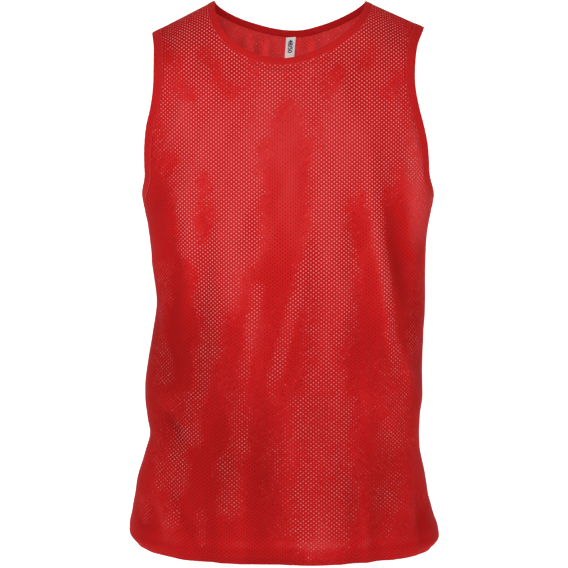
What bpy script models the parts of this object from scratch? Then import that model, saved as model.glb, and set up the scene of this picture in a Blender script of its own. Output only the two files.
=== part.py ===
"""A mesh training bib: the cut pieces of a sleeveless sports bib, filled out as if worn.

Metres, +Z up, and the front faces -Y. The origin lies on the centre line midway between
the shoulder seams, at their mean height, where a wearer's shoulders carry the garment.
The cloth is a thin wall on smooth body sections. Every piece is worked out from the tables
below: the panels from the sections, the bindings from the panels' edges, and the label
from the inside of the back panel.
"""

import math
from collections import namedtuple

import bmesh
import bpy
import numpy as np

MM = 0.001
FRONT = -1
BACK = 1

# Cloth and seams
WALL = 1.2 * MM
HEM_WALL = 2.4 * MM
HEM_DEPTH = 18 * MM
SEAM_GAP = 0.3 * MM

# Height of the hem edge, its rise towards the sides, and the underarm and the neck points
HEM = -704 * MM
HEM_RISE_LEFT = 9 * MM
HEM_RISE_RIGHT = 3 * MM
HEM_RISE_POWER = 2.5
HEM_RISE_FADE = 90 * MM
UNDERARM = -251 * MM
NECK_POINT = 14 * MM

# Roundness of a body section, where 2 is an ellipse, and of the top of the shoulder
SECTION_POWER = 2.4
SHOULDER_ROUND = 60 * MM
ARMHOLE_ROUND = 48 * MM

# The back is a little wider than the front halfway up the armhole, which ends at this height
BACK_ARMHOLE_WIDER = 5 * MM
ARMHOLE_TOP = -24 * MM

# Half widths of the neck opening, its drops and the roundness of its curves
NECK_LEFT = 104 * MM
NECK_RIGHT = 110 * MM
FRONT_CENTRE = -6 * MM
BACK_CENTRE = 10 * MM
FRONT_DROP = 82 * MM
BACK_DROP = 39 * MM
FRONT_POWER_LEFT = 2.0
FRONT_POWER_RIGHT = 1.65
BACK_POWER_LEFT = 1.4
BACK_POWER_RIGHT = 1.28
BACK_SOFT = 0.12

# Fall of the shoulder seams, in metres down for each metre outwards
SHOULDER_FALL_LEFT = 0.51
SHOULDER_FALL_RIGHT = 0.445

# Bindings: widths of the finished bands, and how far they stand off the cloth's faces
NECK_BAND = 9.5 * MM
ARM_BAND = 13 * MM
BAND_PROUD = 0.5 * MM
BAND_BEVEL = 0.9 * MM

# Label: it hangs inside the back from the neck seam, and leans a little
LABEL_WIDTH = 13 * MM
LABEL_LENGTH = 31 * MM
LABEL_TOP_X = 4.5 * MM
LABEL_LEAN = -2.4 * MM
LABEL_WALL = 1.0 * MM
LABEL_CLEAR = 0.6 * MM
LABEL_BELOW_SEAM = 0.8 * MM

# Panel grid: columns over one shoulder, over the neck, and rows of each stretch
SHOULDER_COLUMNS = 5
NECK_COLUMNS = 28
HEM_ROWS = 4
BODY_ROWS = 14
CHEST_ROWS = 14
HEM_CURL = 26 * MM
LABEL_ROWS = 4

# Place across the body of the columns that rise to the neck points
FAN_ACROSS = 0.78

# Rounds of the search for a shoulder seam's outer end
TIP_ROUNDS = 12

# Where and over what distance the slope of the cloth is read close to its seams
INSIDE_SIDE = 0.9995
INSIDE_SHOULDER = 0.3 * MM
STEP = 0.1 * MM

# How far from a side seam (as a share of the half panel) and from the top edge folds fade out
FOLD_FADE_ACROSS = 0.16
FOLD_FADE_DOWN = 45 * MM

# Body sections, in millimetres: reach to each side, depth to the front and to the back
Section = namedtuple("Section", "height left right front back")
SECTIONS = (
    Section(-704, 201, 192, 120, 113),
    Section(-692, 208, 199, 124, 118),
    Section(-677, 210, 199.5, 126, 120),
    Section(-660, 207, 194, 126, 120),
    Section(-635, 203, 187, 124, 119),
    Section(-600, 196.5, 181.5, 120, 116),
    Section(-570, 187, 175, 116, 112),
    Section(-551, 182.2, 173, 115, 110),
    Section(-530, 185.5, 174.3, 114, 108),
    Section(-500, 188, 178, 113, 106),
    Section(-465, 186, 178, 112, 104),
    Section(-420, 179, 179, 111, 102),
    Section(-374, 172.8, 181.3, 112, 102),
    Section(-326, 177.7, 181.3, 115, 105),
    Section(-290, 181.5, 183, 118, 109),
    Section(-251, 188, 189, 121, 114),
    Section(-200, 199, 198, 119, 117),
    Section(-150, 208, 206, 110, 113),
    Section(-100, 213, 210, 96, 104),
    Section(-50, 212, 208, 77, 88),
    Section(0, 205, 202, 59, 68),
    Section(40, 196, 194, 50, 58),
)

# Edge of the cloth at the armholes, in millimetres from the centre plane, seen from the front
ArmholeEdge = namedtuple("ArmholeEdge", "height left right")
ARMHOLE_EDGES = (
    ArmholeEdge(-260, 182, 184),
    ArmholeEdge(-225, 176, 175.5),
    ArmholeEdge(-195, 176.2, 172.7),
    ArmholeEdge(-170, 174.8, 169.5),
    ArmholeEdge(-148, 171.6, 164),
    ArmholeEdge(-124, 165.2, 157),
    ArmholeEdge(-95, 161, 151.4),
    ArmholeEdge(-60, 160.8, 151.8),
    ArmholeEdge(-35, 162.2, 156.2),
    ArmholeEdge(-10, 167.5, 167),
    ArmholeEdge(15, 172.5, 176.5),
)

# Largest folds, in millimetres: ends of the line, half width, and rise (below 0 a trough)
Fold = namedtuple("Fold", "top_x top_z low_x low_z half_width rise")
FRONT_FOLDS = (
    Fold(-128, -185, -122, -400, 18, 4.0),
    Fold(-103, -190, -108, -520, 18, -5.0),
    Fold(-66, -200, -72, -500, 18, 4.0),
    Fold(-36, -300, -58, -500, 18, 3.0),
    Fold(24, -300, -20, -490, 18, 3.5),
    Fold(60, -230, 48, -470, 18, 3.0),
    Fold(88, -200, 84, -380, 18, -5.0),
    Fold(104, -200, 142, -490, 18, 4.5),
    Fold(122, -190, 166, -430, 18, -5.5),
    Fold(-150, -490, -140, -590, 18, -5.0),
    Fold(-88, -470, -80, -650, 18, -4.5),
    Fold(-34, -460, -30, -760, 18, -4.5),
    Fold(40, -450, 44, -800, 36, 5.0),
    Fold(122, -470, 118, -780, 19, -4.5),
    Fold(-166, -600, -118, -760, 18, 4.5),
)
BACK_FOLDS = (
    Fold(-120, -190, -132, -430, 18, -4.5),
    Fold(-92, -170, -98, -520, 18, 4.5),
    Fold(-48, -230, -38, -560, 19, -4.5),
    Fold(0, -280, 14, -620, 20, 4.5),
    Fold(52, -220, 46, -540, 18, -5.0),
    Fold(96, -180, 88, -500, 18, 4.5),
    Fold(128, -200, 150, -440, 18, -4.5),
    Fold(-84, -500, -92, -790, 22, 4.5),
    Fold(-30, -520, -36, -780, 18, -4.0),
    Fold(66, -500, 78, -800, 24, 5.0),
    Fold(124, -490, 112, -770, 18, -4.5),
)

# Angle past which an edge is drawn sharp, in degrees
SHARP_ANGLE = 50

# Viewport finishes: base colour, roughness
CLOTH_RED = ((0.59, 0.030, 0.030), 0.62)
BINDING_RED = ((0.52, 0.026, 0.026), 0.55)
LABEL_WHITE = ((0.83, 0.84, 0.87), 0.60)


def read_column(table, name, height):
    """One column of a table at any height, along a smooth curve through its rows."""
    knots = np.array([row.height for row in table]) * MM
    values = np.array([getattr(row, name) for row in table]) * MM
    slopes = np.gradient(values, knots)
    place = np.clip(height, knots[0], knots[-1])
    low = np.clip(np.searchsorted(knots, place) - 1, 0, len(knots) - 2)
    span = knots[low + 1] - knots[low]
    t = (place - knots[low]) / span
    start = (2 * t ** 3 - 3 * t ** 2 + 1) * values[low]
    start_slope = (t ** 3 - 2 * t ** 2 + t) * span * slopes[low]
    end = (3 * t ** 2 - 2 * t ** 3) * values[low + 1]
    end_slope = (t ** 3 - t ** 2) * span * slopes[low + 1]
    return start + start_slope + end + end_slope


def by_hand(x, left, right):
    """Takes the left value where x is below 0, and the right one elsewhere."""
    return np.where(x < 0, left, right)


def ease(share):
    """Rises from 0 to 1 with level ends."""
    share = np.clip(share, 0, 1)
    return share * share * (3 - 2 * share)


def shoulder_height(x):
    """Height of the shoulder seam's line above a place x."""
    fall = by_hand(x, SHOULDER_FALL_LEFT, SHOULDER_FALL_RIGHT)
    neck = by_hand(x, NECK_LEFT, NECK_RIGHT)
    return NECK_POINT - fall * (np.abs(x) - neck)


def neck_height(side, x):
    """Height of the neck seam: a superellipse quarter on each side of the neck's centre.

    At the back the middle is rounded further, over a share of the half width.
    """
    if side == FRONT:
        centre, drop, soft = FRONT_CENTRE, FRONT_DROP, 0
        power = by_hand(x - centre, FRONT_POWER_LEFT, FRONT_POWER_RIGHT)
    else:
        centre, drop, soft = BACK_CENTRE, BACK_DROP, BACK_SOFT
        power = by_hand(x - centre, BACK_POWER_LEFT, BACK_POWER_RIGHT)
    half = by_hand(x - centre, NECK_LEFT + centre, NECK_RIGHT - centre)
    share = np.clip(np.abs(x - centre) / half, 0, 1)
    share = (np.hypot(share, soft) - soft) / (math.hypot(1, soft) - soft)
    return NECK_POINT - drop * (1 - share ** power) ** (1 / power)


def top_height(side, x):
    """Height of a panel's top edge: the neck seam between the neck points, else the shoulder."""
    in_neck = (x > -NECK_LEFT) & (x < NECK_RIGHT)
    return np.where(in_neck, neck_height(side, x), shoulder_height(x))


def reach(x, height):
    """Half width of the body section on the side where x lies."""
    left = read_column(SECTIONS, "left", height)
    right = read_column(SECTIONS, "right", height)
    return by_hand(x, left, right)


def armhole_edge_x(side, hand, height):
    """Distance of the armhole's edge from the centre plane; hand is below 0 on the left."""
    edge = by_hand(
        hand,
        read_column(ARMHOLE_EDGES, "left", height),
        read_column(ARMHOLE_EDGES, "right", height),
    )
    if side == BACK:
        share = np.clip((height - UNDERARM) / (ARMHOLE_TOP - UNDERARM), 0, 1)
        edge = edge + BACK_ARMHOLE_WIDER * np.sin(math.pi * share)
    return edge


def edge_angle(side, hand, height):
    """Angle round the section from the centre line to the panel's edge.

    Below the underarm it is a quarter turn. Above, it follows the armhole's edge, and
    a quarter circle joins the two at the bottom of the armhole.
    """
    share = armhole_edge_x(side, hand, height) / reach(hand, height)
    angle = np.arcsin(np.clip(share, 0, 1))
    down = np.clip((UNDERARM + ARMHOLE_ROUND - height) / ARMHOLE_ROUND, 0, 1)
    turn = 1 - np.sqrt(1 - down ** 2)
    return angle + (math.pi / 2 - angle) * turn


def column_x(side, across, height):
    """x of a grid column, where across runs from -1 at the left edge to 1 at the right."""
    return reach(across, height) * np.sin(across * edge_angle(side, across, height))


def depth(side, x, height):
    """Distance of the cloth from the mid plane: a superellipse, rounded off at the shoulder."""
    full = read_column(SECTIONS, "front" if side == FRONT else "back", height)
    share = np.clip(np.abs(x) / reach(x, height), 0, 1)
    fill = (1 - share ** SECTION_POWER) ** (1 / SECTION_POWER)
    below = np.clip((shoulder_height(x) - height) / SHOULDER_ROUND, 0, 1)
    return full * fill * np.sqrt(1 - (1 - below) ** 2)


def shoulder_tip(side, hand):
    """x of the outer end of a shoulder seam, where it meets the armhole's edge."""
    x = hand * NECK_RIGHT
    for _ in range(TIP_ROUNDS):
        x = hand * float(armhole_edge_x(side, hand, shoulder_height(x)))
    return x


def top_edge(side):
    """x and height of the panel's top edge: shoulder, neck and shoulder, from left to right.

    The columns come closer towards the neck points, where the neck seam is steep.
    """
    left = np.linspace(shoulder_tip(side, -1), -NECK_LEFT, SHOULDER_COLUMNS + 1)[:-1]
    right = np.linspace(NECK_RIGHT, shoulder_tip(side, 1), SHOULDER_COLUMNS + 1)[1:]
    turn = np.linspace(0, math.pi, NECK_COLUMNS + 1)
    neck = -NECK_LEFT + (NECK_LEFT + NECK_RIGHT) * ease((1 - np.cos(turn)) / 2)
    x = np.concatenate((left, neck, right))
    return x, top_height(side, x)


def panel_grid(side):
    """Place across and height of every grid point, rows from the hem to the top edge.

    Up to the underarm the rows are level and the columns even. Above it, the rows come
    closer towards both ends, and the columns lean in to their places on the top edge.
    """
    top_x, top = top_edge(side)
    to_edge = np.arcsin(np.abs(top_x) / reach(top_x, top)) / edge_angle(side, top_x, top)
    top_across = np.sign(top_x) * to_edge
    fan = np.linspace(FAN_ACROSS, 1, SHOULDER_COLUMNS + 1)[1:]
    below_neck = np.linspace(-FAN_ACROSS, FAN_ACROSS, NECK_COLUMNS + 1)
    even = np.concatenate((-fan[::-1], below_neck, fan))

    hem = np.linspace(HEM, HEM + HEM_CURL, HEM_ROWS + 1)[:-1]
    body = np.linspace(HEM + HEM_CURL, UNDERARM, BODY_ROWS + 1)
    level = np.concatenate((hem, body))[:, None] * np.ones_like(top)
    rise = (1 - np.cos(np.linspace(0, math.pi, CHEST_ROWS + 1)[1:, None])) / 2
    height = np.concatenate((level, UNDERARM + rise * (top - UNDERARM)))
    lean = np.concatenate((np.zeros((len(level), 1)), rise ** 2))
    across = even + lean * (top_across - even)
    across[:, 0] = -1
    across[:, -1] = 1
    return across, height


def fold_rise(folds, x, height):
    """Sum of the folds: each a bell across its line, dying out softly at both ends."""
    total = np.zeros_like(x)
    for fold in folds:
        along = (fold.top_z * MM - height) / ((fold.top_z - fold.low_z) * MM)
        line = (fold.top_x + (fold.low_x - fold.top_x) * along) * MM
        ends = ease(2 * np.minimum(along, 1 - along))
        bell = np.exp(-((x - line) / (fold.half_width * MM)) ** 2)
        total += fold.rise * MM * ends * bell
    return total


def unit(vectors):
    """Scales vectors to length 1."""
    return vectors / np.linalg.norm(vectors, axis=-1, keepdims=True)


def surface_normals(side, x, height, on_seam):
    """Normals facing out of the garment, from the slope of the depth across and upwards.

    The slope is read just inside the side and shoulder seams, where the cloth turns over
    to the other panel, and the normals on those seams lie in the seam's plane.
    """
    limit = reach(x, height) * INSIDE_SIDE
    x = np.clip(x, -limit, limit)
    height = np.minimum(height, shoulder_height(x) - INSIDE_SHOULDER)
    slope_x = (depth(side, x + STEP, height) - depth(side, x - STEP, height)) / (2 * STEP)
    slope_z = (depth(side, x, height + STEP) - depth(side, x, height - STEP)) / (2 * STEP)
    normals = np.stack((-slope_x, np.full_like(x, side), -slope_z), axis=-1)
    normals[on_seam, 1] = 0
    return unit(normals)


def hem_lift(x, height):
    """Rise of the hem towards the sides, fading out above it."""
    share = np.abs(x) / reach(x, height)
    rise = by_hand(x, HEM_RISE_LEFT, HEM_RISE_RIGHT)
    return rise * share ** HEM_RISE_POWER * ease(1 - (height - HEM) / HEM_RISE_FADE)


def panel_faces(side):
    """Outer points and normals of one panel's grid, rows from the hem to the top."""
    across, height = panel_grid(side)
    x = column_x(side, across, height)
    outwards = side * (depth(side, x, height) + SEAM_GAP / 2)
    points = np.stack((x, outwards, height + hem_lift(x, height)), axis=-1)

    on_seam = (np.abs(across) == 1) & (height <= UNDERARM)
    on_seam[-1, :SHOULDER_COLUMNS + 1] = True
    on_seam[-1, SHOULDER_COLUMNS + NECK_COLUMNS:] = True
    normals = surface_normals(side, x, height, on_seam)

    from_top = (height[-1] - height) / FOLD_FADE_DOWN
    fade = ease((1 - np.abs(across)) / FOLD_FADE_ACROSS) * ease(from_top)
    folds = FRONT_FOLDS if side == FRONT else BACK_FOLDS
    points = points + normals * (fade * fold_rise(folds, x, height))[..., None]
    return points, normals


def add_object(name, vertices, faces, finish):
    """Makes one closed piece with its own material."""
    mesh = bpy.data.meshes.new(name)
    mesh.from_pydata([tuple(vertex) for vertex in vertices], [], faces)
    shape = bmesh.new()
    shape.from_mesh(mesh)
    bmesh.ops.recalc_face_normals(shape, faces=shape.faces)
    shape.to_mesh(mesh)
    shape.free()
    mesh.shade_smooth()
    mesh.set_sharp_from_angle(angle=math.radians(SHARP_ANGLE))

    colour, roughness = finish
    material = bpy.data.materials.new(name)
    material.use_nodes = True
    surface = material.node_tree.nodes["Principled BSDF"]
    surface.inputs["Base Color"].default_value = (*colour, 1)
    surface.inputs["Roughness"].default_value = roughness
    surface.inputs["Metallic"].default_value = 0
    mesh.materials.append(material)

    piece = bpy.data.objects.new(name, mesh)
    bpy.context.collection.objects.link(piece)
    return piece


def add_wall(name, outer, inner, finish):
    """Closes two matching grids of points into a wall with a rim round it."""
    rows, columns = outer.shape[:2]
    index = np.arange(rows * columns).reshape(rows, columns)
    corners = (index[:-1, :-1], index[:-1, 1:], index[1:, 1:], index[1:, :-1])
    outside = np.stack(corners, axis=-1).reshape(-1, 4)
    inside = outside[:, ::-1] + rows * columns
    rim = np.concatenate((index[0, :-1], index[:-1, -1], index[-1, :0:-1], index[:0:-1, 0]))
    following = np.roll(rim, -1)
    sides = np.stack((following, rim, rim + rows * columns, following + rows * columns), axis=-1)
    vertices = np.concatenate((outer.reshape(-1, 3), inner.reshape(-1, 3)))
    faces = np.concatenate((outside, inside, sides)).tolist()
    return add_object(name, vertices, faces, finish)


def add_panel(name, side):
    """Front or back: the cloth's wall, twice as thick along the turned hem."""
    outer, normals = panel_faces(side)
    in_hem = outer[..., 2] < HEM + HEM_DEPTH
    wall = np.where(in_hem, HEM_WALL, WALL)
    inner = outer - normals * wall[..., None]
    add_wall(name, outer, inner, CLOTH_RED)
    return outer, normals


def add_band(name, points, normals, width):
    """A binding: a flat folded band round a closed seam, swept through the seam's points.

    The band's section has its corners bevelled. It starts a seam gap from the cloth's edge
    and runs away from the cloth, and both its faces stand a little off the cloth's faces.
    """
    along = np.roll(points, -1, axis=0) - np.roll(points, 1, axis=0)
    outwards = unit(np.cross(normals, along))
    top = BAND_PROUD
    bottom = -WALL - BAND_PROUD
    section = (
        (SEAM_GAP, 0),
        (SEAM_GAP + BAND_BEVEL, top),
        (width - BAND_BEVEL, top),
        (width, top - BAND_BEVEL),
        (width, bottom + BAND_BEVEL),
        (width - BAND_BEVEL, bottom),
        (SEAM_GAP + BAND_BEVEL, bottom),
        (SEAM_GAP, -WALL),
    )
    rings = [points + outwards * out + normals * lift for out, lift in section]
    vertices = np.stack(rings, axis=1).reshape(-1, 3)
    stations = len(points)
    corners = len(section)
    faces = []
    for station in range(stations):
        here = station * corners
        there = (station + 1) % stations * corners
        for corner in range(corners):
            following = (corner + 1) % corners
            faces.append((here + corner, here + following, there + following, there + corner))
    return add_object(name, vertices, faces, BINDING_RED)


def join_edges(first, second):
    """One closed line from two edges that meet at both ends, with the end points shared.

    Each edge is a pair of points and normals. The second runs back to the first's start.
    """
    joined = []
    for one, other in zip(first, second):
        start = (one[0] + other[-1]) / 2
        end = (one[-1] + other[0]) / 2
        joined.append(np.concatenate(([start], one[1:-1], [end], other[1:-1])))
    return joined[0], unit(joined[1])


def neck_edge(panel):
    """Top row of a panel between its neck points, from left to right."""
    return [grid[-1, SHOULDER_COLUMNS:SHOULDER_COLUMNS + NECK_COLUMNS + 1] for grid in panel]


def armhole_edge(panel, hand):
    """Edge column of a panel from the underarm up to the shoulder."""
    column = 0 if hand < 0 else -1
    return [grid[HEM_ROWS + BODY_ROWS:, column] for grid in panel]


def backwards(edge):
    """The same edge, run the other way."""
    return [grid[::-1] for grid in edge]


def add_bindings(front, back):
    """Neck and armhole bindings, each a closed ring along the front's and the back's edges."""
    neck = join_edges(neck_edge(front), backwards(neck_edge(back)))
    add_band("neck_binding", *neck, NECK_BAND)
    left = join_edges(armhole_edge(front, -1), backwards(armhole_edge(back, -1)))
    add_band("armhole_binding_left", *left, ARM_BAND)
    right = join_edges(armhole_edge(back, 1), backwards(armhole_edge(front, 1)))
    add_band("armhole_binding_right", *right, ARM_BAND)


def add_label():
    """A blank woven label that follows the inside of the back, just below the neck seam."""
    down, across = np.meshgrid(
        np.linspace(0, 1, LABEL_ROWS + 1), np.linspace(-0.5, 0.5, 3), indexing="ij"
    )
    top = float(neck_height(BACK, np.array(LABEL_TOP_X))) - LABEL_BELOW_SEAM
    x = LABEL_TOP_X + LABEL_WIDTH * across + LABEL_LEAN * down
    height = top - LABEL_LENGTH * down
    y = depth(BACK, x, height) - WALL - LABEL_CLEAR
    facing = np.stack((x, y - LABEL_WALL, height), axis=-1)
    behind = np.stack((x, y, height), axis=-1)
    add_wall("neck_label", facing, behind, LABEL_WHITE)


def build():
    """Clears the scene's objects and makes the whole garment."""
    for item in list(bpy.data.objects):
        bpy.data.objects.remove(item, do_unlink=True)
    front = add_panel("front_panel", FRONT)
    back = add_panel("back_panel", BACK)
    add_bindings(front, back)
    add_label()


build()
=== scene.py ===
"""Looks of a mesh training bib: fine cloth, bound edges, stitching, a label and a studio.

Metres, +Z up, and the front faces -Y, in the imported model's frame. The cloth follows the
same body sections, edges and large folds as the solids, on a finer grid, with smaller folds
and the mesh of the knit added.
"""

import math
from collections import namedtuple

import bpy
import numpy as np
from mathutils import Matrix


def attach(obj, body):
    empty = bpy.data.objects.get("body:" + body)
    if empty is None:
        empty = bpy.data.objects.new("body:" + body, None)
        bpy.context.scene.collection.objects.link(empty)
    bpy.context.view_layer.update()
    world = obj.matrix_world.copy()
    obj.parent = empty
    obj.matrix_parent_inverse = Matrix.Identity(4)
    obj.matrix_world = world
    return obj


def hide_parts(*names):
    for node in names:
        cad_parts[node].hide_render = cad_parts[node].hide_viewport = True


bl_info = {
    "name": "Mesh Training Bib",
    "version": (1, 0, 0),
    "blender": (4, 5, 0),
    "location": "View3D > Sidebar > Training Bib",
    "description": "Builds the cloth, bindings, stitching and label of a mesh training bib",
    "category": "Add Mesh",
}

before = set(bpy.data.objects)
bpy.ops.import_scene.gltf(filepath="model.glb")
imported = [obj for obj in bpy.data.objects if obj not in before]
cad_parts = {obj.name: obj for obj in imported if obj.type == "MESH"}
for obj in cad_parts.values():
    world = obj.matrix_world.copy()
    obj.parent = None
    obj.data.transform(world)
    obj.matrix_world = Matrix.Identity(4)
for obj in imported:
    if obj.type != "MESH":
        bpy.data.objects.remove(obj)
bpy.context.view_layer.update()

MM = 0.001
FRONT = -1
BACK = 1

# Heights of the hem, the underarm and the neck points
HEM = -704 * MM
UNDERARM = -251 * MM
NECK_POINT = 14 * MM

# Rise of the hem towards the sides, how late it starts, and the height over which it fades
HEM_RISE_LEFT = 9 * MM
HEM_RISE_RIGHT = 3 * MM
HEM_RISE_POWER = 2.5
HEM_RISE_FADE = 90 * MM

# Roundness of a body section, where 2 is an ellipse, and of the top of the shoulder
SECTION_POWER = 2.4
SHOULDER_ROUND = 60 * MM

# Roundness of an armhole's bottom, the height of its top, and how much the back is wider there
ARMHOLE_ROUND = 48 * MM
ARMHOLE_TOP = -24 * MM
BACK_ARMHOLE_WIDER = 5 * MM

# Neck opening: half widths, middles, drops, the roundness of its curves, where 2 is an
# ellipse, and how far the middle of the back is rounded
NECK_LEFT = 104 * MM
NECK_RIGHT = 110 * MM
FRONT_CENTRE = -6 * MM
BACK_CENTRE = 10 * MM
FRONT_DROP = 82 * MM
BACK_DROP = 39 * MM
FRONT_POWER_LEFT = 2.0
FRONT_POWER_RIGHT = 1.65
BACK_POWER_LEFT = 1.4
BACK_POWER_RIGHT = 1.28
BACK_SOFT = 0.12

# Fall of the shoulder seams, in metres down for each metre outwards
SHOULDER_FALL_LEFT = 0.51
SHOULDER_FALL_RIGHT = 0.445

# Rounds that find a shoulder's tip, how close to its seams the cloth's slope is read, and
# the distance over which it is read
TIP_ROUNDS = 12
INSIDE_SIDE = 0.9995
INSIDE_SHOULDER = 0.3 * MM
STEP = 0.1 * MM

# How far the panels lap at a seam
SEAM_LAP = 0.08 * MM

# Cloth grid: columns over a shoulder and over the neck, rows of the hem, the body and the
# chest, the share of the width that the neck's columns take up lower down, and the chords
# that measure a girth
SHOULDER_COLUMNS = 22
NECK_COLUMNS = 112
HEM_ROWS = 16
BODY_ROWS = 92
CHEST_ROWS = 62
FAN_ACROSS = 0.78
GIRTH_SAMPLES = 24

# Turned hem: height of its finely divided rows, its depth, and the roll of its edge with the
# place and width of the ridge and the height of the drawn-in edge
HEM_CURL = 26 * MM
HEM_DEPTH = 18 * MM
HEM_STEP = 2 * MM
HEM_ROLL = 1.3 * MM
HEM_RIDGE = 14 * MM
HEM_RIDGE_WIDTH = 6 * MM
HEM_EDGE = 7 * MM

# Dip under the neck binding: its rise, reach, and the place and width of sink and swell
NECK_DIP = 1.5 * MM
NECK_DIP_REACH = 32 * MM
NECK_SINK = 3.5 * MM
NECK_SINK_WIDTH = 3 * MM
NECK_SWELL = 10 * MM
NECK_SWELL_WIDTH = 4 * MM

# Where large folds and fine creases die out, as a share of the width and below the top
FOLD_FADE_ACROSS = 0.16
FOLD_FADE_DOWN = 45 * MM
CREASE_FADE_ACROSS = 0.05
CREASE_FADE_DOWN = 12 * MM

# Patches of pale holes: what is added to a half width, how far they reach and how soft their
# edges are, in half widths, how much less of both low down, and their ragged edge
PATCH_EXTRA = 3 * MM
PATCH_REACH = 1.60
PATCH_REACH_LESS = 0.36
PATCH_SOFTNESS = 1.25
PATCH_SOFTNESS_LESS = 0.40
PATCH_RAGGED = 0.16

# Tone of the patches low down, and where it starts and over what height
TONE_LOW = 0.70
TONE_FADE = -430 * MM
TONE_FADE_DEPTH = 150 * MM

# Painted light and shade for each metre that a fold or a crease rises, lighter on ridges and
# darker in troughs; inside, near the neck, the cloth is painted lighter and its patches of pale
# holes are painted fainter
FOLD_PAINTED_SHADING = 20.0
CREASE_PAINTED_SHADING = 36.0
INSIDE_PAINTED_LIGHT = 0.24
INSIDE_CALM = 0.45
INSIDE_PAINTED_LIGHT_DEPTH = 140 * MM

# Body sections, in millimetres: reach to each side, depth to the front and to the back
Section = namedtuple("Section", "height left right front back")
SECTIONS = tuple(map(Section._make, (
    (-704, 201, 192, 120, 113), (-692, 208, 199, 124, 118), (-677, 210, 199.5, 126, 120),
    (-660, 207, 194, 126, 120), (-635, 203, 187, 124, 119), (-600, 196.5, 181.5, 120, 116),
    (-570, 187, 175, 116, 112), (-551, 182.2, 173, 115, 110), (-530, 185.5, 174.3, 114, 108),
    (-500, 188, 178, 113, 106), (-465, 186, 178, 112, 104), (-420, 179, 179, 111, 102),
    (-374, 172.8, 181.3, 112, 102), (-326, 177.7, 181.3, 115, 105), (-290, 181.5, 183, 118, 109),
    (-251, 188, 189, 121, 114), (-200, 199, 198, 119, 117), (-150, 208, 206, 110, 113),
    (-100, 213, 210, 96, 104), (-50, 212, 208, 77, 88), (0, 205, 202, 59, 68),
    (40, 196, 194, 50, 58),
)))

# Edge of the cloth at the armholes, in millimetres from the centre plane, seen from the front
ArmholeEdge = namedtuple("ArmholeEdge", "height left right")
ARMHOLE_EDGES = tuple(map(ArmholeEdge._make, (
    (-260, 182, 184), (-225, 176, 175.5), (-195, 176.2, 172.7), (-170, 174.8, 169.5),
    (-148, 171.6, 164), (-124, 165.2, 157), (-95, 161, 151.4), (-60, 160.8, 151.8),
    (-35, 162.2, 156.2), (-10, 167.5, 167), (15, 172.5, 176.5),
)))

# Folds, in millimetres: ends of the line, half width, and rise (below 0 a trough)
Fold = namedtuple("Fold", "top_x top_z low_x low_z half_width rise")
FRONT_FOLDS = tuple(map(Fold._make, (
    (-128, -185, -122, -400, 15, 4.0), (-103, -190, -108, -520, 16, -5.0),
    (-66, -200, -72, -500, 17, 4.0), (-36, -300, -58, -500, 11, 3.5),
    (24, -300, -20, -490, 11, 4.0), (60, -230, 48, -470, 18, 3.0), (88, -200, 84, -380, 15, -5.0),
    (104, -200, 142, -490, 12, 5.0), (122, -190, 166, -430, 13, -6.0),
    (-150, -490, -140, -590, 15, -5.0), (-88, -470, -80, -650, 15, -4.5),
    (-34, -460, -30, -760, 16, -4.5), (40, -450, 44, -800, 36, 5.0),
    (122, -470, 118, -780, 19, -4.5), (-166, -600, -118, -760, 13, 4.5),
)))
BACK_FOLDS = tuple(map(Fold._make, (
    (-120, -190, -132, -430, 16, -4.5), (-92, -170, -98, -520, 17, 4.5),
    (-48, -230, -38, -560, 19, -4.5), (0, -280, 14, -620, 20, 4.5), (52, -220, 46, -540, 17, -5.0),
    (96, -180, 88, -500, 17, 4.5), (128, -200, 150, -440, 15, -4.5),
    (-84, -500, -92, -790, 22, 4.5), (-30, -520, -36, -780, 18, -4.0),
    (66, -500, 78, -800, 24, 5.0), (124, -490, 112, -770, 17, -4.5),
)))

# Smaller folds that only the fine cloth has
FRONT_CREASES = tuple(map(Fold._make, (
    (-168, -500, -138, -556, 7, -4.5), (-172, -470, -150, -520, 9, 2.5),
    (-176, -590, -150, -690, 6, 3.0), (-160, -570, -122, -700, 7, -3.0),
    (-152, -620, -108, -720, 6, 2.5), (-136, -300, -150, -430, 8, -2.5),
    (-150, -330, -166, -450, 7, 2.0), (-48, -210, -44, -330, 8, -2.0),
    (-24, -170, -8, -330, 14, -2.0), (18, -130, 22, -290, 12, -1.6), (36, -250, 24, -380, 8, -2.2),
    (74, -330, 66, -450, 8, 2.0), (96, -400, 104, -560, 10, 2.4), (140, -400, 168, -520, 8, 3.5),
    (150, -250, 172, -350, 7, 2.5), (158, -190, 172, -300, 9, 2.5), (0, -480, 8, -640, 8, 2.0),
    (80, -560, 86, -740, 9, -2.6), (98, -580, 104, -760, 8, 2.6), (150, -560, 164, -700, 8, 2.6),
    (168, -600, 176, -720, 6, -3.0), (-62, -560, -58, -740, 8, 2.2),
    (-98, -600, -96, -740, 8, -2.2), (-70, -60, -96, -150, 12, -1.2),
    (74, -60, 98, -150, 12, -1.2), (-140, -90, -120, -200, 9, 1.4), (132, -90, 116, -200, 9, -1.6),
)))
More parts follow.
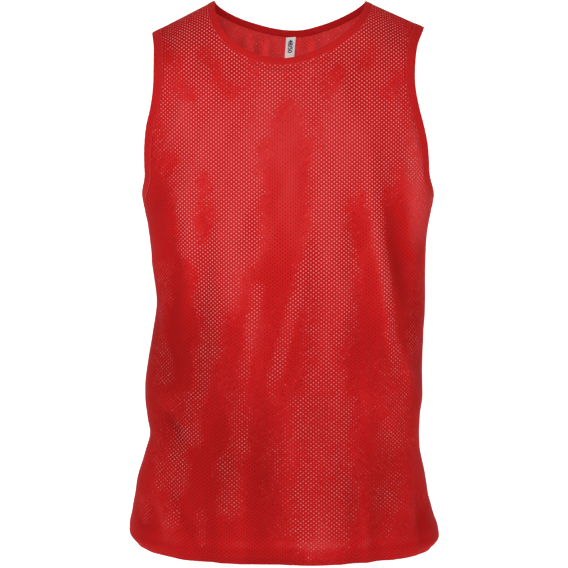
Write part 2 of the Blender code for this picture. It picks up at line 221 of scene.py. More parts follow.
BACK_CREASES = tuple(map(Fold._make, (
    (-62, 40, -66, -150, 6, -3.4), (-52, 30, -56, -170, 5, 3.2), (-41, 25, -44, -150, 5, -3.6),
    (-30, 20, -30, -180, 5, 3.0), (-21, 20, -20, -140, 4.5, -3.0), (-9, 20, -8, -160, 5, 1.8),
    (20, 20, 22, -170, 5, -2.6), (30, 22, 33, -160, 5, 3.0), (41, 26, 46, -150, 5, -3.2),
    (52, 30, 58, -160, 5, 2.8), (64, 36, 70, -160, 6, -2.4), (-120, -70, -96, -190, 10, 1.8),
    (126, -80, 100, -200, 10, -1.8), (-150, -440, -128, -560, 9, -3.5),
    (152, -430, 130, -550, 9, -3.5), (-166, -560, -140, -720, 8, 3.0),
    (162, -570, 146, -740, 8, 3.0), (-60, -300, -70, -440, 9, 2.2), (24, -260, 30, -400, 9, -2.2),
    (78, -300, 70, -450, 9, 2.4), (-6, -560, -2, -740, 9, -2.4), (34, -580, 38, -760, 9, 2.4),
    (-118, -600, -122, -760, 9, -2.6), (96, -600, 100, -760, 9, 2.4),
)))

# Places where the holes of the knit are painted pale, as light from a pale body behind them
# that the scene leaves out, in millimetres: a soft band from one point to another, its half
# width, and how strongly it adds (or, below 0, takes away)
Patch = namedtuple("Patch", "top_x top_z low_x low_z half_width strength")
FRONT_PATCHES = tuple(map(Patch._make, (
    (-104, 30, -102, -170, 68, 0.95), (100, 30, 100, -168, 66, 0.95), (-2, -62, -2, -84, 36, 0.75),
    (-150, -6, -112, 10, 16, -0.35), (150, -10, 112, 8, 16, -0.30),
    (-22, -96, -34, -150, 12, 0.55), (24, -98, 30, -150, 10, 0.45),
    (-156, -50, -142, -64, 8, -0.4), (-108, -54, -92, -68, 8, -0.45),
    (-140, -92, -122, -108, 8, -0.4), (-90, -86, -72, -102, 8, -0.4), (66, -78, 52, -98, 9, -0.4),
    (108, -50, 94, -70, 8, -0.4), (142, -84, 128, -104, 8, -0.4), (-40, -206, 20, -208, 14, -0.9),
    (-150, -190, -100, -214, 9, -0.5), (-128, -205, -128, -300, 11, 0.95),
    (-64, -205, -64, -296, 30, 0.95), (53, -205, 52, -300, 26, 0.95),
    (104, -205, 139, -460, 6, 0.95), (-90, -318, -90, -362, 32, 0.9),
    (-98, -362, -98, -428, 18, 0.85), (-38, -350, -57, -466, 7, 0.9),
    (22, -325, -16, -460, 8, 0.9), (56, -330, 56, -398, 38, 0.95), (48, -410, 46, -482, 30, 0.95),
    (-17, -462, -18, -490, 8, 0.7), (43, -510, 45, -650, 54, 0.95),
    (-111, -437, -111, -490, 12, 0.8), (-120, -492, -122, -546, 12, 0.8),
    (-140, -538, -142, -608, 15, 0.85), (-63, -494, -63, -552, 15, 0.8),
    (-74, -576, -74, -628, 19, 0.85), (-164, -586, -164, -604, 9, 0.7),
    (-149, -632, -149, -655, 10, 0.7), (-110, -642, -110, -674, 8, 0.7),
    (-186, -630, -186, -655, 8, 0.6), (-159, -328, -159, -365, 10, 0.6),
    (-163, -384, -163, -428, 9, 0.6), (-162, -438, -160, -468, 14, 0.7),
    (136, -478, 136, -550, 20, 0.45), (163, -390, 164, -441, 9, 0.45),
    (138, -600, 138, -628, 10, 0.5), (123, -620, 122, -670, 17, 0.5),
    (166, -200, 168, -285, 10, 0.5), (-150, -500, -160, -650, 26, 0.42),
    (-20, -560, -10, -650, 30, 0.36), (128, -440, 146, -640, 40, 0.46),
    (166, -330, 168, -430, 12, 0.45), (-84, -330, -84, -470, 40, 0.30),
    (0, -400, 0, -520, 60, 0.26), (-120, -550, 130, -550, 120, 0.14),
)))
BACK_PATCHES = tuple(map(Patch._make, (
    (-88, 30, -86, -170, 76, 0.9), (90, 30, 88, -170, 76, 0.9), (0, -60, 0, -150, 46, 0.75),
    (-128, -60, -128, -72, 10, -0.5), (-70, -100, -70, -112, 11, -0.5),
    (72, -80, 72, -92, 11, -0.5), (122, -96, 122, -108, 10, -0.5), (-92, -200, -98, -420, 16, 0.9),
    (0, -250, 14, -480, 20, 0.9), (96, -200, 88, -420, 17, 0.9), (-140, -280, -150, -380, 10, 0.6),
    (150, -270, 158, -360, 9, 0.6), (-86, -500, -92, -670, 34, 0.95),
    (66, -490, 78, -670, 38, 0.95), (-20, -420, -14, -520, 12, 0.7), (6, -600, 8, -670, 16, 0.8),
    (-150, -500, -144, -600, 12, 0.6), (146, -500, 140, -620, 13, 0.6),
)))

# Painted light and shade on the knit, in millimetres: a soft oval round a place, its half
# width and half height, and how much lighter the cloth is painted (below 0, darker)
Glow = namedtuple("Glow", "x z half_x half_z amount")
FRONT_PAINTED_SHADING = tuple(map(Glow._make, (
    (0, -165, 120, 70, 0.09), (-10, -262, 95, 60, 0.07), (-68, -320, 36, 42, 0.02),
    (58, -320, 42, 45, 0.02), (0, -550, 220, 150, -0.14), (168, -225, 15, 60, 0.26),
    (-150, -20, 52, 40, -0.14), (-100, -60, 40, 26, -0.08), (140, -30, 50, 45, -0.08),
    (84, -62, 34, 30, -0.08), (120, -108, 30, 22, -0.05), (-170, -235, 26, 70, -0.10),
    (-150, -340, 26, 60, -0.10), (-152, -445, 38, 85, -0.28), (-168, -538, 14, 16, -0.16),
    (-100, -440, 26, 60, -0.10), (140, -320, 22, 70, -0.07), (166, -420, 14, 80, -0.20),
    (104, -430, 30, 60, -0.07), (124, -520, 34, 70, 0.06), (-60, -560, 34, 60, -0.05),
    (114, -200, 9, 40, -0.12), (126, -262, 10, 42, -0.10), (141, -335, 11, 46, -0.10),
    (-73, -395, 14, 36, -0.09), (28, -420, 14, 50, -0.09), (84, -415, 20, 40, -0.09),
    (-36, -405, 13, 42, 0.07), (50, -440, 16, 42, 0.08), (6, -350, 34, 42, -0.07),
    (-120, -680, 60, 22, -0.06), (-94, -560, 14, 70, -0.01), (44, -570, 44, 50, 0.03),
    (40, -480, 60, 70, 0.02), (-104, -590, 26, 90, -0.10), (60, -610, 80, 30, -0.05),
    (0, -676, 180, 6, 0.10), (0, -699, 210, 8, -0.24), (-186, -668, 14, 26, -0.12),
    (188, -662, 14, 26, -0.14),
)))
BACK_PAINTED_SHADING = tuple(map(Glow._make, (
    (0, -120, 130, 90, 0.14), (0, -290, 100, 80, 0.10), (-150, -30, 50, 40, -0.10),
    (150, -30, 50, 40, -0.10), (-158, -430, 30, 90, -0.20), (158, -430, 28, 90, -0.18),
    (-40, -520, 50, 70, -0.07), (70, -560, 60, 70, 0.04), (110, -480, 30, 70, -0.08),
    (0, -668, 150, 12, 0.05),
)))

# The same painted light and shade on the back's inner face, where it shows through the neck
INSIDE_PAINTED_SHADING = tuple(map(Glow._make, (
    (0, -40, 80, 22, 0.34), (-88, -8, 26, 26, 0.34), (88, -4, 24, 24, 0.22),
    (-64, -46, 5, 24, -0.34), (-54, -46, 4, 24, 0.14), (-42, -48, 5, 24, -0.44),
    (-31, -48, 4, 24, 0.14), (-21, -48, 4, 24, -0.32), (20, -46, 4, 24, -0.20),
    (30, -46, 4, 24, 0.10), (41, -44, 4, 24, -0.24), (52, -44, 4, 24, 0.12),
)))

# Fine unevenness of the hanging cloth: rise in metres, and waves for each metre across and up
Ripple = namedtuple("Ripple", "rise across up turn")
RIPPLES = tuple(map(Ripple._make, (
    (0.00045, 11.0, 3.1, 0.4), (0.00035, 17.0, -5.3, 1.9), (0.00028, -23.0, 9.7, 3.3),
    (0.00020, 31.0, 14.0, 5.1), (0.00014, -44.0, 21.0, 0.9), (0.00010, 58.0, -37.0, 2.6),
)))

# How ripples wander: waves for each metre up and across, and how far, in radians
WANDER_UP = 2.3
WANDER_ACROSS = 1.7
WANDER = 1.6

# Points along the closed seams
NECK_STATIONS = 420
ARMHOLE_STATIONS = 380

# Folded band: where it starts off the cloth, how its middle and the start of its layers lie,
# the bulge, the pinch at the stitching and its share of the band, and the pull of the stitches
BAND_START = 0.08 * MM
BAND_MIDDLE = -0.5 * MM
BAND_APART = 0.08 * MM
BAND_BULGE = 0.22 * MM
BAND_PINCH = 0.12 * MM
BAND_PINCH_SHARE = 0.22
BAND_STEPS = 9
FOLD_STEPS = 7
PULL = 0.12 * MM
PULL_PITCH = 8.5 * MM
PULL_WANDER = 1.3
PULL_TURNS = 7

# Stitch: place beside the seam and above the cloth, radius, arch, half length as a share of
# the pitch, how much thinner its ends are, and the points along it and round it
STITCH_BESIDE = 0.05 * MM
STITCH_ABOVE = 0.28 * MM
STITCH_RADIUS = 0.42 * MM
STITCH_ARCH = 0.10 * MM
STITCH_HALF = 0.49
STITCH_TAPER = 0.75
STITCH_SLICES = 7
STITCH_CORNERS = 6

# Label: place, lean and grid, how it stands off and bows, and the plain size number on it
LABEL_TOP_X = 4.5 * MM
LABEL_LEAN = -2.4 * MM
LABEL_SKEW = 0.4
LABEL_CLEAR = 0.6 * MM
LABEL_OFF = 3.6 * MM
LABEL_BOW = 0.5 * MM
LABEL_BELOW_SEAM = 0.8 * MM
LABEL_ROWS = 40
LABEL_COLUMNS = 16
LABEL_NUMBER = "48/50"
NUMBER_LONG = 0.56
NUMBER_TALL = 0.50
NUMBER_DOWN = 0.38
NUMBER_BOLD = 0.03
NUMBER_ABOVE = 0.06 * MM
NUMBER_WALL = 0.1 * MM

# Studio: floor from front to back, half its width, and the wall's curve and height
FLOOR_NEAR = -7.0
FLOOR_FAR = 2.2
FLOOR_SIDE = 7.0
WALL_CURVE = 1.6
WALL_TOP = 6.0
FLOOR_COLUMNS = 9
CURVE_POINTS = 24

# Soft lights: place, the point they face, width, and the setting that holds their power
Light = namedtuple("Light", "name place target width power")
LIGHTS = (
    Light("key_light", (-0.30, -1.30, 0.32), (0, 0, -0.2), 0.35, "key_power"),
    Light("top_light", (0.05, -0.95, 1.0), (0, 0, -0.05), 0.4, "top_power"),
    Light("fill_light", (2.2, -1.6, 0.2), (0, 0, -0.35), 1.6, "fill_power"),
)

# Photograph's camera: width in pixels, height, aim, scale at the plane of the shoulders,
# sensor in mm and the farthest distance it sees
PHOTO_PIXELS = 568
CAMERA_HEIGHT = -160 * MM
AIM_X = -4.9 * MM
AIM_Z = -353 * MM
METRES_PER_PIXEL = 1.32 * MM
SENSOR = 36.0
VIEW_END = 50.0


# Cloth surface

def read_column(table, name, height):
    """One column of a table at any height, along a smooth curve through its rows."""
    knots = np.array([row.height for row in table]) * MM
    values = np.array([getattr(row, name) for row in table]) * MM
    slopes = np.gradient(values, knots)
    place = np.clip(height, knots[0], knots[-1])
    low = np.clip(np.searchsorted(knots, place) - 1, 0, len(knots) - 2)
    span = knots[low + 1] - knots[low]
    t = (place - knots[low]) / span
    start = (2 * t ** 3 - 3 * t ** 2 + 1) * values[low]
    start_slope = (t ** 3 - 2 * t ** 2 + t) * span * slopes[low]
    end = (3 * t ** 2 - 2 * t ** 3) * values[low + 1]
    end_slope = (t ** 3 - t ** 2) * span * slopes[low + 1]
    return start + start_slope + end + end_slope


def by_hand(x, left, right):
    """Takes the left value where x is below 0, and the right one elsewhere."""
    return np.where(x < 0, left, right)


def ease(share):
    """Rises from 0 to 1 with level ends."""
    share = np.clip(share, 0, 1)
    return share * share * (3 - 2 * share)


def shoulder_height(x):
    """Height of the shoulder seam's line above a place x."""
    fall = by_hand(x, SHOULDER_FALL_LEFT, SHOULDER_FALL_RIGHT)
    neck = by_hand(x, NECK_LEFT, NECK_RIGHT)
    return NECK_POINT - fall * (np.abs(x) - neck)


def neck_height(side, x):
    """Height of the neck seam: a superellipse quarter on each side of the neck's centre.

    At the back the middle is rounded further, over a share of the half width.
    """
    if side == FRONT:
        centre, drop, soft = FRONT_CENTRE, FRONT_DROP, 0
        power = by_hand(x - centre, FRONT_POWER_LEFT, FRONT_POWER_RIGHT)
    else:
        centre, drop, soft = BACK_CENTRE, BACK_DROP, BACK_SOFT
        power = by_hand(x - centre, BACK_POWER_LEFT, BACK_POWER_RIGHT)
    half = by_hand(x - centre, NECK_LEFT + centre, NECK_RIGHT - centre)
    share = np.clip(np.abs(x - centre) / half, 0, 1)
    share = (np.hypot(share, soft) - soft) / (math.hypot(1, soft) - soft)
    return NECK_POINT - drop * (1 - share ** power) ** (1 / power)


def top_height(side, x):
    """Height of a panel's top edge: the neck seam between the neck points, else the shoulder."""
    in_neck = (x > -NECK_LEFT) & (x < NECK_RIGHT)
    return np.where(in_neck, neck_height(side, x), shoulder_height(x))


def reach(x, height):
    """Half width of the body section on the side where x lies."""
    left = read_column(SECTIONS, "left", height)
    right = read_column(SECTIONS, "right", height)
    return by_hand(x, left, right)


def armhole_edge_x(side, hand, height):
    """Distance of the armhole's edge from the centre plane; hand is below 0 on the left."""
    edge = by_hand(
        hand,
        read_column(ARMHOLE_EDGES, "left", height),
        read_column(ARMHOLE_EDGES, "right", height),
    )
    if side == BACK:
        share = np.clip((height - UNDERARM) / (ARMHOLE_TOP - UNDERARM), 0, 1)
        edge = edge + BACK_ARMHOLE_WIDER * np.sin(math.pi * share)
    return edge


def edge_angle(side, hand, height):
    """Angle round the section from the centre line to the panel's edge.

    Below the underarm it is a quarter turn. Above, it follows the armhole's edge, and
    a quarter circle joins the two at the bottom of the armhole.
    """
    share = armhole_edge_x(side, hand, height) / reach(hand, height)
    angle = np.arcsin(np.clip(share, 0, 1))
    down = np.clip((UNDERARM + ARMHOLE_ROUND - height) / ARMHOLE_ROUND, 0, 1)
    turn = 1 - np.sqrt(1 - down ** 2)
    return angle + (math.pi / 2 - angle) * turn


def column_x(side, across, height):
    """x of a grid column, where across runs from -1 at the left edge to 1 at the right."""
    return reach(across, height) * np.sin(across * edge_angle(side, across, height))


def section_depth(side, x, height):
    """Depth of the body section before the shoulder is rounded off: a superellipse."""
    full = read_column(SECTIONS, "front" if side == FRONT else "back", height)
    share = np.clip(np.abs(x) / reach(x, height), 0, 1)
    return full * (1 - share ** SECTION_POWER) ** (1 / SECTION_POWER)


def depth(side, x, height):
    """Distance of the cloth from the mid plane, which closes in a quarter turn at the top."""
    below = np.clip((shoulder_height(x) - height) / SHOULDER_ROUND, 0, 1)
    return section_depth(side, x, height) * np.sqrt(1 - (1 - below) ** 2)


def shoulder_tip(side, hand):
    """x of the outer end of a shoulder seam, where it meets the armhole's edge."""
    x = hand * NECK_RIGHT
    for _ in range(TIP_ROUNDS):
        x = hand * float(armhole_edge_x(side, hand, shoulder_height(x)))
    return x


def top_edge(side):
    """x and height of the panel's top edge: shoulder, neck and shoulder, from left to right."""
    left = np.linspace(shoulder_tip(side, -1), -NECK_LEFT, SHOULDER_COLUMNS + 1)[:-1]
    right = np.linspace(NECK_RIGHT, shoulder_tip(side, 1), SHOULDER_COLUMNS + 1)[1:]
    turn = np.linspace(0, math.pi, NECK_COLUMNS + 1)
    neck = -NECK_LEFT + (NECK_LEFT + NECK_RIGHT) * ease((1 - np.cos(turn)) / 2)
    x = np.concatenate((left, neck, right))
    return x, top_height(side, x)


def panel_grid(side):
    """Place across and height of every grid point, rows from the hem to the top edge.

    Up to the underarm the rows are level and the columns even. Above it, the rows come
    closer towards both ends, and the columns lean in to their places on the top edge.
    """
    top_x, top = top_edge(side)
    to_edge = np.arcsin(np.abs(top_x) / reach(top_x, top)) / edge_angle(side, top_x, top)
    top_across = np.sign(top_x) * to_edge
    fan = np.linspace(FAN_ACROSS, 1, SHOULDER_COLUMNS + 1)[1:]
    below_neck = np.linspace(-FAN_ACROSS, FAN_ACROSS, NECK_COLUMNS + 1)
    even = np.concatenate((-fan[::-1], below_neck, fan))

    hem = np.linspace(HEM, HEM + HEM_CURL, HEM_ROWS + 1)[:-1]
    body = np.linspace(HEM + HEM_CURL, UNDERARM, BODY_ROWS + 1)
    level = np.concatenate((hem, body))[:, None] * np.ones_like(top)
    rise = (1 - np.cos(np.linspace(0, math.pi, CHEST_ROWS + 1)[1:, None])) / 2
    height = np.concatenate((level, UNDERARM + rise * (top - UNDERARM)))
    lean = np.concatenate((np.zeros((len(level), 1)), rise ** 2))
    across = even + lean * (top_across - even)
    across[:, 0] = -1
    across[:, -1] = 1
    return across, height


def fold_rise(folds, x, height):
    """Sum of the folds: each a bell across its line, dying out softly at both ends."""
    total = np.zeros_like(x)
    for fold in folds:
        along = (fold.top_z * MM - height) / ((fold.top_z - fold.low_z) * MM)
        line = (fold.top_x + (fold.low_x - fold.top_x) * along) * MM
        ends = ease(2 * np.minimum(along, 1 - along))
        bell = np.exp(-((x - line) / (fold.half_width * MM)) ** 2)
        total += fold.rise * MM * ends * bell
    return total


def neck_dip(x, below_top):
    """The cloth sinks just under the middle of the neck binding and swells again below it."""
    middle = np.exp(-((x - FRONT_CENTRE) / NECK_DIP_REACH) ** 2)
    sink = np.exp(-((below_top - NECK_SINK) / NECK_SINK_WIDTH) ** 2)
    swell = np.exp(-((below_top - NECK_SWELL) / NECK_SWELL_WIDTH) ** 2)
    return NECK_DIP * middle * (swell - sink)


def ripple_rise(x, height):
    """Sum of slow waves in several directions, whose crests wander with each other."""
    total = np.zeros_like(x)
    for ripple in RIPPLES:
        slow = height * WANDER_UP + x * WANDER_ACROSS
        wander = np.sin(2 * math.pi * slow + ripple.turn)
        phase = 2 * math.pi * (ripple.across * x + ripple.up * height) + ripple.turn
        total += ripple.rise * np.sin(phase + WANDER * wander)
    return total


def patch_strength(patches, x, height):
    """How pale the holes are painted, as light from a pale body behind them: soft bands with ragged
    edges, laid over each other in order.

    The raggedness is the product of two quick waves, one of which winds from side to side.
    """
    winding = np.sin(x * 310 + 3 * np.sin(height * 170))
    ragged = PATCH_RAGGED * winding * np.sin(height * 260 + x * 90)
    low = 1 - ease((height - TONE_FADE) / TONE_FADE_DEPTH)
    edge = PATCH_REACH - PATCH_REACH_LESS * low + ragged
    softness = PATCH_SOFTNESS - PATCH_SOFTNESS_LESS * low
    total = np.zeros_like(x)
    for patch in patches:
        start = np.array((patch.top_x, patch.top_z)) * MM
        run = np.array((patch.low_x, patch.low_z)) * MM - start
        along = ((x - start[0]) * run[0] + (height - start[1]) * run[1]) / (run @ run)
        along = np.clip(along, 0, 1)
        away = np.hypot(x - start[0] - along * run[0], height - start[1] - along * run[1])
        cover = ease((edge - away / (patch.half_width * MM + PATCH_EXTRA)) / softness)
        if patch.strength > 0:
            total = total + (1 - total) * patch.strength * cover
        else:
            total = total * (1 + patch.strength * cover)
    return total * (1 + (TONE_LOW - 1) * low)


def painted_light_and_shade_amount(glows, x, height):
    """How much lighter or darker the knit is painted, as painted light and shade: a sum of soft
    ovals.
    """
    total = np.zeros_like(x)
    for glow in glows:
        across = (x - glow.x * MM) / (glow.half_x * MM)
        upwards = (height - glow.z * MM) / (glow.half_z * MM)
        total += glow.amount * np.exp(-(across ** 2 + upwards ** 2))
    return total


def unit(vectors):
    """Scales vectors to length 1."""
    return vectors / np.linalg.norm(vectors, axis=-1, keepdims=True)


def surface_normals(side, x, height, on_seam):
    """Normals facing out of the garment, from the slope of the depth across and upwards."""
    limit = reach(x, height) * INSIDE_SIDE
    x = np.clip(x, -limit, limit)
    height = np.minimum(height, shoulder_height(x) - INSIDE_SHOULDER)
    slope_x = (depth(side, x + STEP, height) - depth(side, x - STEP, height)) / (2 * STEP)
    slope_z = (depth(side, x, height + STEP) - depth(side, x, height - STEP)) / (2 * STEP)
    normals = np.stack((-slope_x, np.full_like(x, side), -slope_z), axis=-1)
    normals[on_seam, 1] = 0
    return unit(normals)


def hem_lift(x, height):
    """Rise of the hem towards the sides, fading out above it."""
    share = np.abs(x) / reach(x, height)
    rise = by_hand(x, HEM_RISE_LEFT, HEM_RISE_RIGHT)
    return rise * share ** HEM_RISE_POWER * ease(1 - (height - HEM) / HEM_RISE_FADE)


def girth_place(side, x, height):
    """Length round the section from the centre line to x: chords over even steps of angle."""
    angle = np.arcsin(np.clip(np.abs(x) / reach(x, height), 0, 1))
    steps = np.linspace(0, 1, GIRTH_SAMPLES + 1).reshape(-1, 1, 1)
    along = np.sign(x) * reach(x, height) * np.sin(steps * angle)
    outwards = np.stack([section_depth(side, place, height) for place in along])
    chords = np.hypot(np.diff(along, axis=0), np.diff(outwards, axis=0))
    return np.sign(x) * chords.sum(axis=0)


def length_place(x, height):
    """Length up the cloth: the height, and round the shoulder the length of its arc."""
    below = shoulder_height(x) - height
    turn = np.arccos(np.clip(1 - below / SHOULDER_ROUND, -1, 1))
    arc = shoulder_height(x) - SHOULDER_ROUND * turn
    straight = height - (math.pi / 2 - 1) * SHOULDER_ROUND
    return np.where(below < SHOULDER_ROUND, arc, straight)


PanelTables = namedtuple("PanelTables", "folds creases patches glows inside_glows")
TABLES = {
    FRONT: PanelTables(FRONT_FOLDS, FRONT_CREASES, FRONT_PATCHES, FRONT_PAINTED_SHADING, ()),
    BACK: PanelTables(BACK_FOLDS, BACK_CREASES, BACK_PATCHES, BACK_PAINTED_SHADING, INSIDE_PAINTED_SHADING),
}


class ClothGrid:
    """One panel on a grid: outer points, normals, cloth coordinates, the painted paleness of its
    holes and painted light and shade.
    """

    def __init__(self, side):
        across, height = panel_grid(side)
        x = column_x(side, across, height)
        outwards = side * (depth(side, x, height) - SEAM_LAP / 2)
        points = np.stack((x, outwards, height + hem_lift(x, height)), axis=-1)
        on_seam = (np.abs(across) == 1) & (height <= UNDERARM)
        on_seam[-1, :SHOULDER_COLUMNS + 1] = True
        on_seam[-1, SHOULDER_COLUMNS + NECK_COLUMNS:] = True
        self.normals = surface_normals(side, x, height, on_seam)

        tables = TABLES[side]
        below_top = height[-1] - height
        to_side = 1 - np.abs(across)
        rise = fold_rise(tables.folds, x, height) * ease(to_side / FOLD_FADE_ACROSS)
        rise = rise * ease(below_top / FOLD_FADE_DOWN)
        near_edge = ease(to_side / CREASE_FADE_ACROSS) * ease(below_top / CREASE_FADE_DOWN)
        fine_rise = (fold_rise(tables.creases, x, height) + ripple_rise(x, height)) * near_edge
        # Painted light on the ridges of folds and creases, and painted shade in their troughs
        fold_painted_light_and_shade = FOLD_PAINTED_SHADING * rise + CREASE_PAINTED_SHADING * fine_rise
        rise += fine_rise
        if side == FRONT:
            rise += neck_dip(x, below_top)
        above_hem = height - HEM
        ridge = np.exp(-((above_hem - HEM_RIDGE) / HEM_RIDGE_WIDTH) ** 2)
        rise += HEM_ROLL * (ridge - ease(1 - above_hem / HEM_EDGE))
        self.points = points + self.normals * rise[..., None]
        self.height = height
        self.flat = np.stack((girth_place(side, x, height), length_place(x, height)), axis=-1)
        self.tone = patch_strength(tables.patches, x, height)
        self.glow = painted_light_and_shade_amount(tables.glows, x, height) + fold_painted_light_and_shade
        # Inside, near the neck, the cloth is painted lighter and its pale holes painted fainter
        near_neck = ease(1 - below_top / INSIDE_PAINTED_LIGHT_DEPTH)
        self.inner_tone = self.tone * (1 - INSIDE_CALM * near_neck)
        self.inner_painted_light_and_shade = self.glow + INSIDE_PAINTED_LIGHT * near_neck
        self.inner_painted_light_and_shade += painted_light_and_shade_amount(tables.inside_glows, x, height)

    def neck_edge(self):
        """Points and normals of the neck seam, from left to right."""
        stretch = slice(SHOULDER_COLUMNS, SHOULDER_COLUMNS + NECK_COLUMNS + 1)
        return [grid[-1, stretch] for grid in (self.points, self.normals)]

    def armhole_edge(self, hand):
        """Points and normals of an armhole's edge, from the underarm up to the shoulder."""
        column = 0 if hand < 0 else -1
        return [grid[HEM_ROWS + BODY_ROWS:, column] for grid in (self.points, self.normals)]


def join_edges(first, second):
    """One closed line from two edges, the second of which runs back to the first's start."""
    joined = []
    for one, other in zip(first, second):
        start = (one[0] + other[-1]) / 2
        end = (one[-1] + other[0]) / 2
        joined.append(np.concatenate(([start], one[1:-1], [end], other[1:-1])))
    return joined[0], unit(joined[1])


def backwards(edge):
    """The same edge, run the other way."""
    return [grid[::-1] for grid in edge]


def read_closed(at, place, values):
    """Vectors at any lengths along a closed line, from those at given lengths."""
    closed = np.concatenate((values, values[:1]))
    return np.stack([np.interp(at, place, closed[:, k]) for k in range(3)], axis=1)


class Seam:
    """A closed line of points on the cloth's edge, with normals and the way off the cloth."""

    def __init__(self, points, normals, stations):
        along = np.linalg.norm(np.diff(points, axis=0, append=points[:1]), axis=1)
        place = np.concatenate(([0], np.cumsum(along)))
        self.length = place[-1]
        self.place = np.linspace(0, self.length, stations, endpoint=False)
        self.points = read_closed(self.place, place, points)
        self.normals = unit(read_closed(self.place, place, normals))
        ahead = np.roll(self.points, -1, axis=0) - np.roll(self.points, 1, axis=0)
        self.ahead = unit(ahead)
        self.outwards = unit(np.cross(self.normals, self.ahead))

    def read(self, values, at):
        """The seam's points or directions at any lengths along it."""
        return read_closed(at, np.append(self.place, self.length), values)


# Mesh making

def link_object(name, data):
    """Puts a new object with this data into the scene."""
    thing = bpy.data.objects.new(name, data)
    bpy.context.scene.collection.objects.link(thing)
    return thing


def quads(rows, columns, close_rows=False, close_columns=False, turned=False):
    """Corner numbers of the quads of a grid, which may close on itself either way.

    Each quad starts at its own row and column and goes on along the row, or, turned, up the
    column.
    """
    row = np.arange(rows if close_rows else rows - 1)[:, None]
    column = np.arange(columns if close_columns else columns - 1)[None, :]
    after_row = (row + 1) % rows
    after_column = (column + 1) % columns
    corners = [row * columns + column, row * columns + after_column,
               after_row * columns + after_column, after_row * columns + column]
    if turned:
        corners[1], corners[3] = corners[3], corners[1]
    return np.stack(corners, axis=-1).reshape(-1, 4)


def new_object(name, vertices, faces, loop_uvs, material, fields=None):
    """Makes a smooth mesh object from arrays of corners, quads and cloth coordinates.

    The fields are named values for each corner, which the material reads.
    """
    mesh = bpy.data.meshes.new(name)
    mesh.vertices.add(len(vertices))
    mesh.vertices.foreach_set("co", np.asarray(vertices, dtype=np.float32).ravel())
    faces = np.asarray(faces, dtype=np.int32)
    mesh.loops.add(faces.size)
    mesh.loops.foreach_set("vertex_index", faces.ravel())
    mesh.polygons.add(len(faces))
    starts = np.arange(0, faces.size, faces.shape[1], dtype=np.int32)
    mesh.polygons.foreach_set("loop_start", starts)
    mesh.update(calc_edges=True)
    layer = mesh.uv_layers.new(name="cloth")
    layer.data.foreach_set("uv", np.asarray(loop_uvs, dtype=np.float32).ravel())
    for field, values in (fields or {}).items():
        attribute = mesh.attributes.new(field, "FLOAT", "POINT")
        attribute.data.foreach_set("value", np.asarray(values, dtype=np.float32).ravel())
    mesh.validate()
    mesh.shade_smooth()
    mesh.materials.append(material)
    piece = link_object(name, mesh)
    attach(piece, "root")
    return piece


def wall_object(name, outer, inner, flat, material, turned, fields=None):
    """Closes two matching grids into a thin wall; turned says that the rows run the other way.

    Each field has its values on the outer grid and on the inner one.
    """
    rows, columns = outer.shape[:2]
    index = np.arange(rows * columns).reshape(rows, columns)
    outside = quads(rows, columns)
    inside = outside[:, ::-1] + rows * columns
    rim = np.concatenate((index[0, :-1], index[:-1, -1], index[-1, :0:-1], index[:0:-1, 0]))
    after = np.roll(rim, -1)
    sides = np.stack((after, rim, rim + rows * columns, after + rows * columns), axis=-1)
    faces = np.concatenate((outside, inside, sides))
    if turned:
        faces = faces[:, ::-1]
    vertices = np.concatenate((outer.reshape(-1, 3), inner.reshape(-1, 3)))
    uvs = np.concatenate((flat.reshape(-1, 2), flat.reshape(-1, 2)))[faces.ravel()]
    return new_object(name, vertices, faces, uvs, material, fields)


def ring_object(name, rings, along, round_place, material):
    """Joins rings of points, station by station, into a closed tube that meets itself."""
    faces = quads(*rings.shape[:2], close_rows=True, close_columns=True)
    step = along[1] - along[0]
    here, low = np.broadcast_arrays(along[:, None], round_place[None, :-1])
    ahead, high = np.broadcast_arrays((along + step)[:, None], round_place[None, 1:])
    corners = ((here, low), (here, high), (ahead, high), (ahead, low))
    uvs = np.stack([np.stack(corner, axis=-1) for corner in corners], axis=2)
    return new_object(name, rings.reshape(-1, 3), faces, uvs.reshape(-1, 2), material)


# Shader expressions

class Expression:
    """A shader socket that adds Math nodes when it is used in arithmetic."""

    def __init__(self, tree, socket):
        self.tree = tree
        self.socket = socket

    def math(self, operation, *others):
        """A Math node on this value and the others."""
        return self.tree.node("ShaderNodeMath", {"operation": operation}, self, *others)

    def __add__(self, other):
        return self.math("ADD", other)

    def __sub__(self, other):
        return self.math("SUBTRACT", other)

    def __rsub__(self, other):
        return self.tree.node("ShaderNodeMath", {"operation": "SUBTRACT"}, other, self)

    def __mul__(self, other):
        return self.math("MULTIPLY", other)

    def __truediv__(self, other):
        return self.math("DIVIDE", other)

    def __pow__(self, other):
        return self.math("POWER", other)

    __radd__ = __add__
    __rmul__ = __mul__

    def least(self, other):
        """The smaller of two values."""
        return self.math("MINIMUM", other)

    def part(self):
        """The part after the decimal point, which repeats every 1."""
        return self.math("FRACT")

    def sine(self):
        """The sine of an angle in radians."""
        return self.math("SINE")

    def size(self):
        """The value without its sign."""
        return self.math("ABSOLUTE")

    def soft_step(self, start, end):
        """0 before start and 1 after end, with a smooth change between."""
        settings = {"interpolation_type": "SMOOTHSTEP"}
        return self.tree.node("ShaderNodeMapRange", settings, self, start, end, 0.0, 1.0)


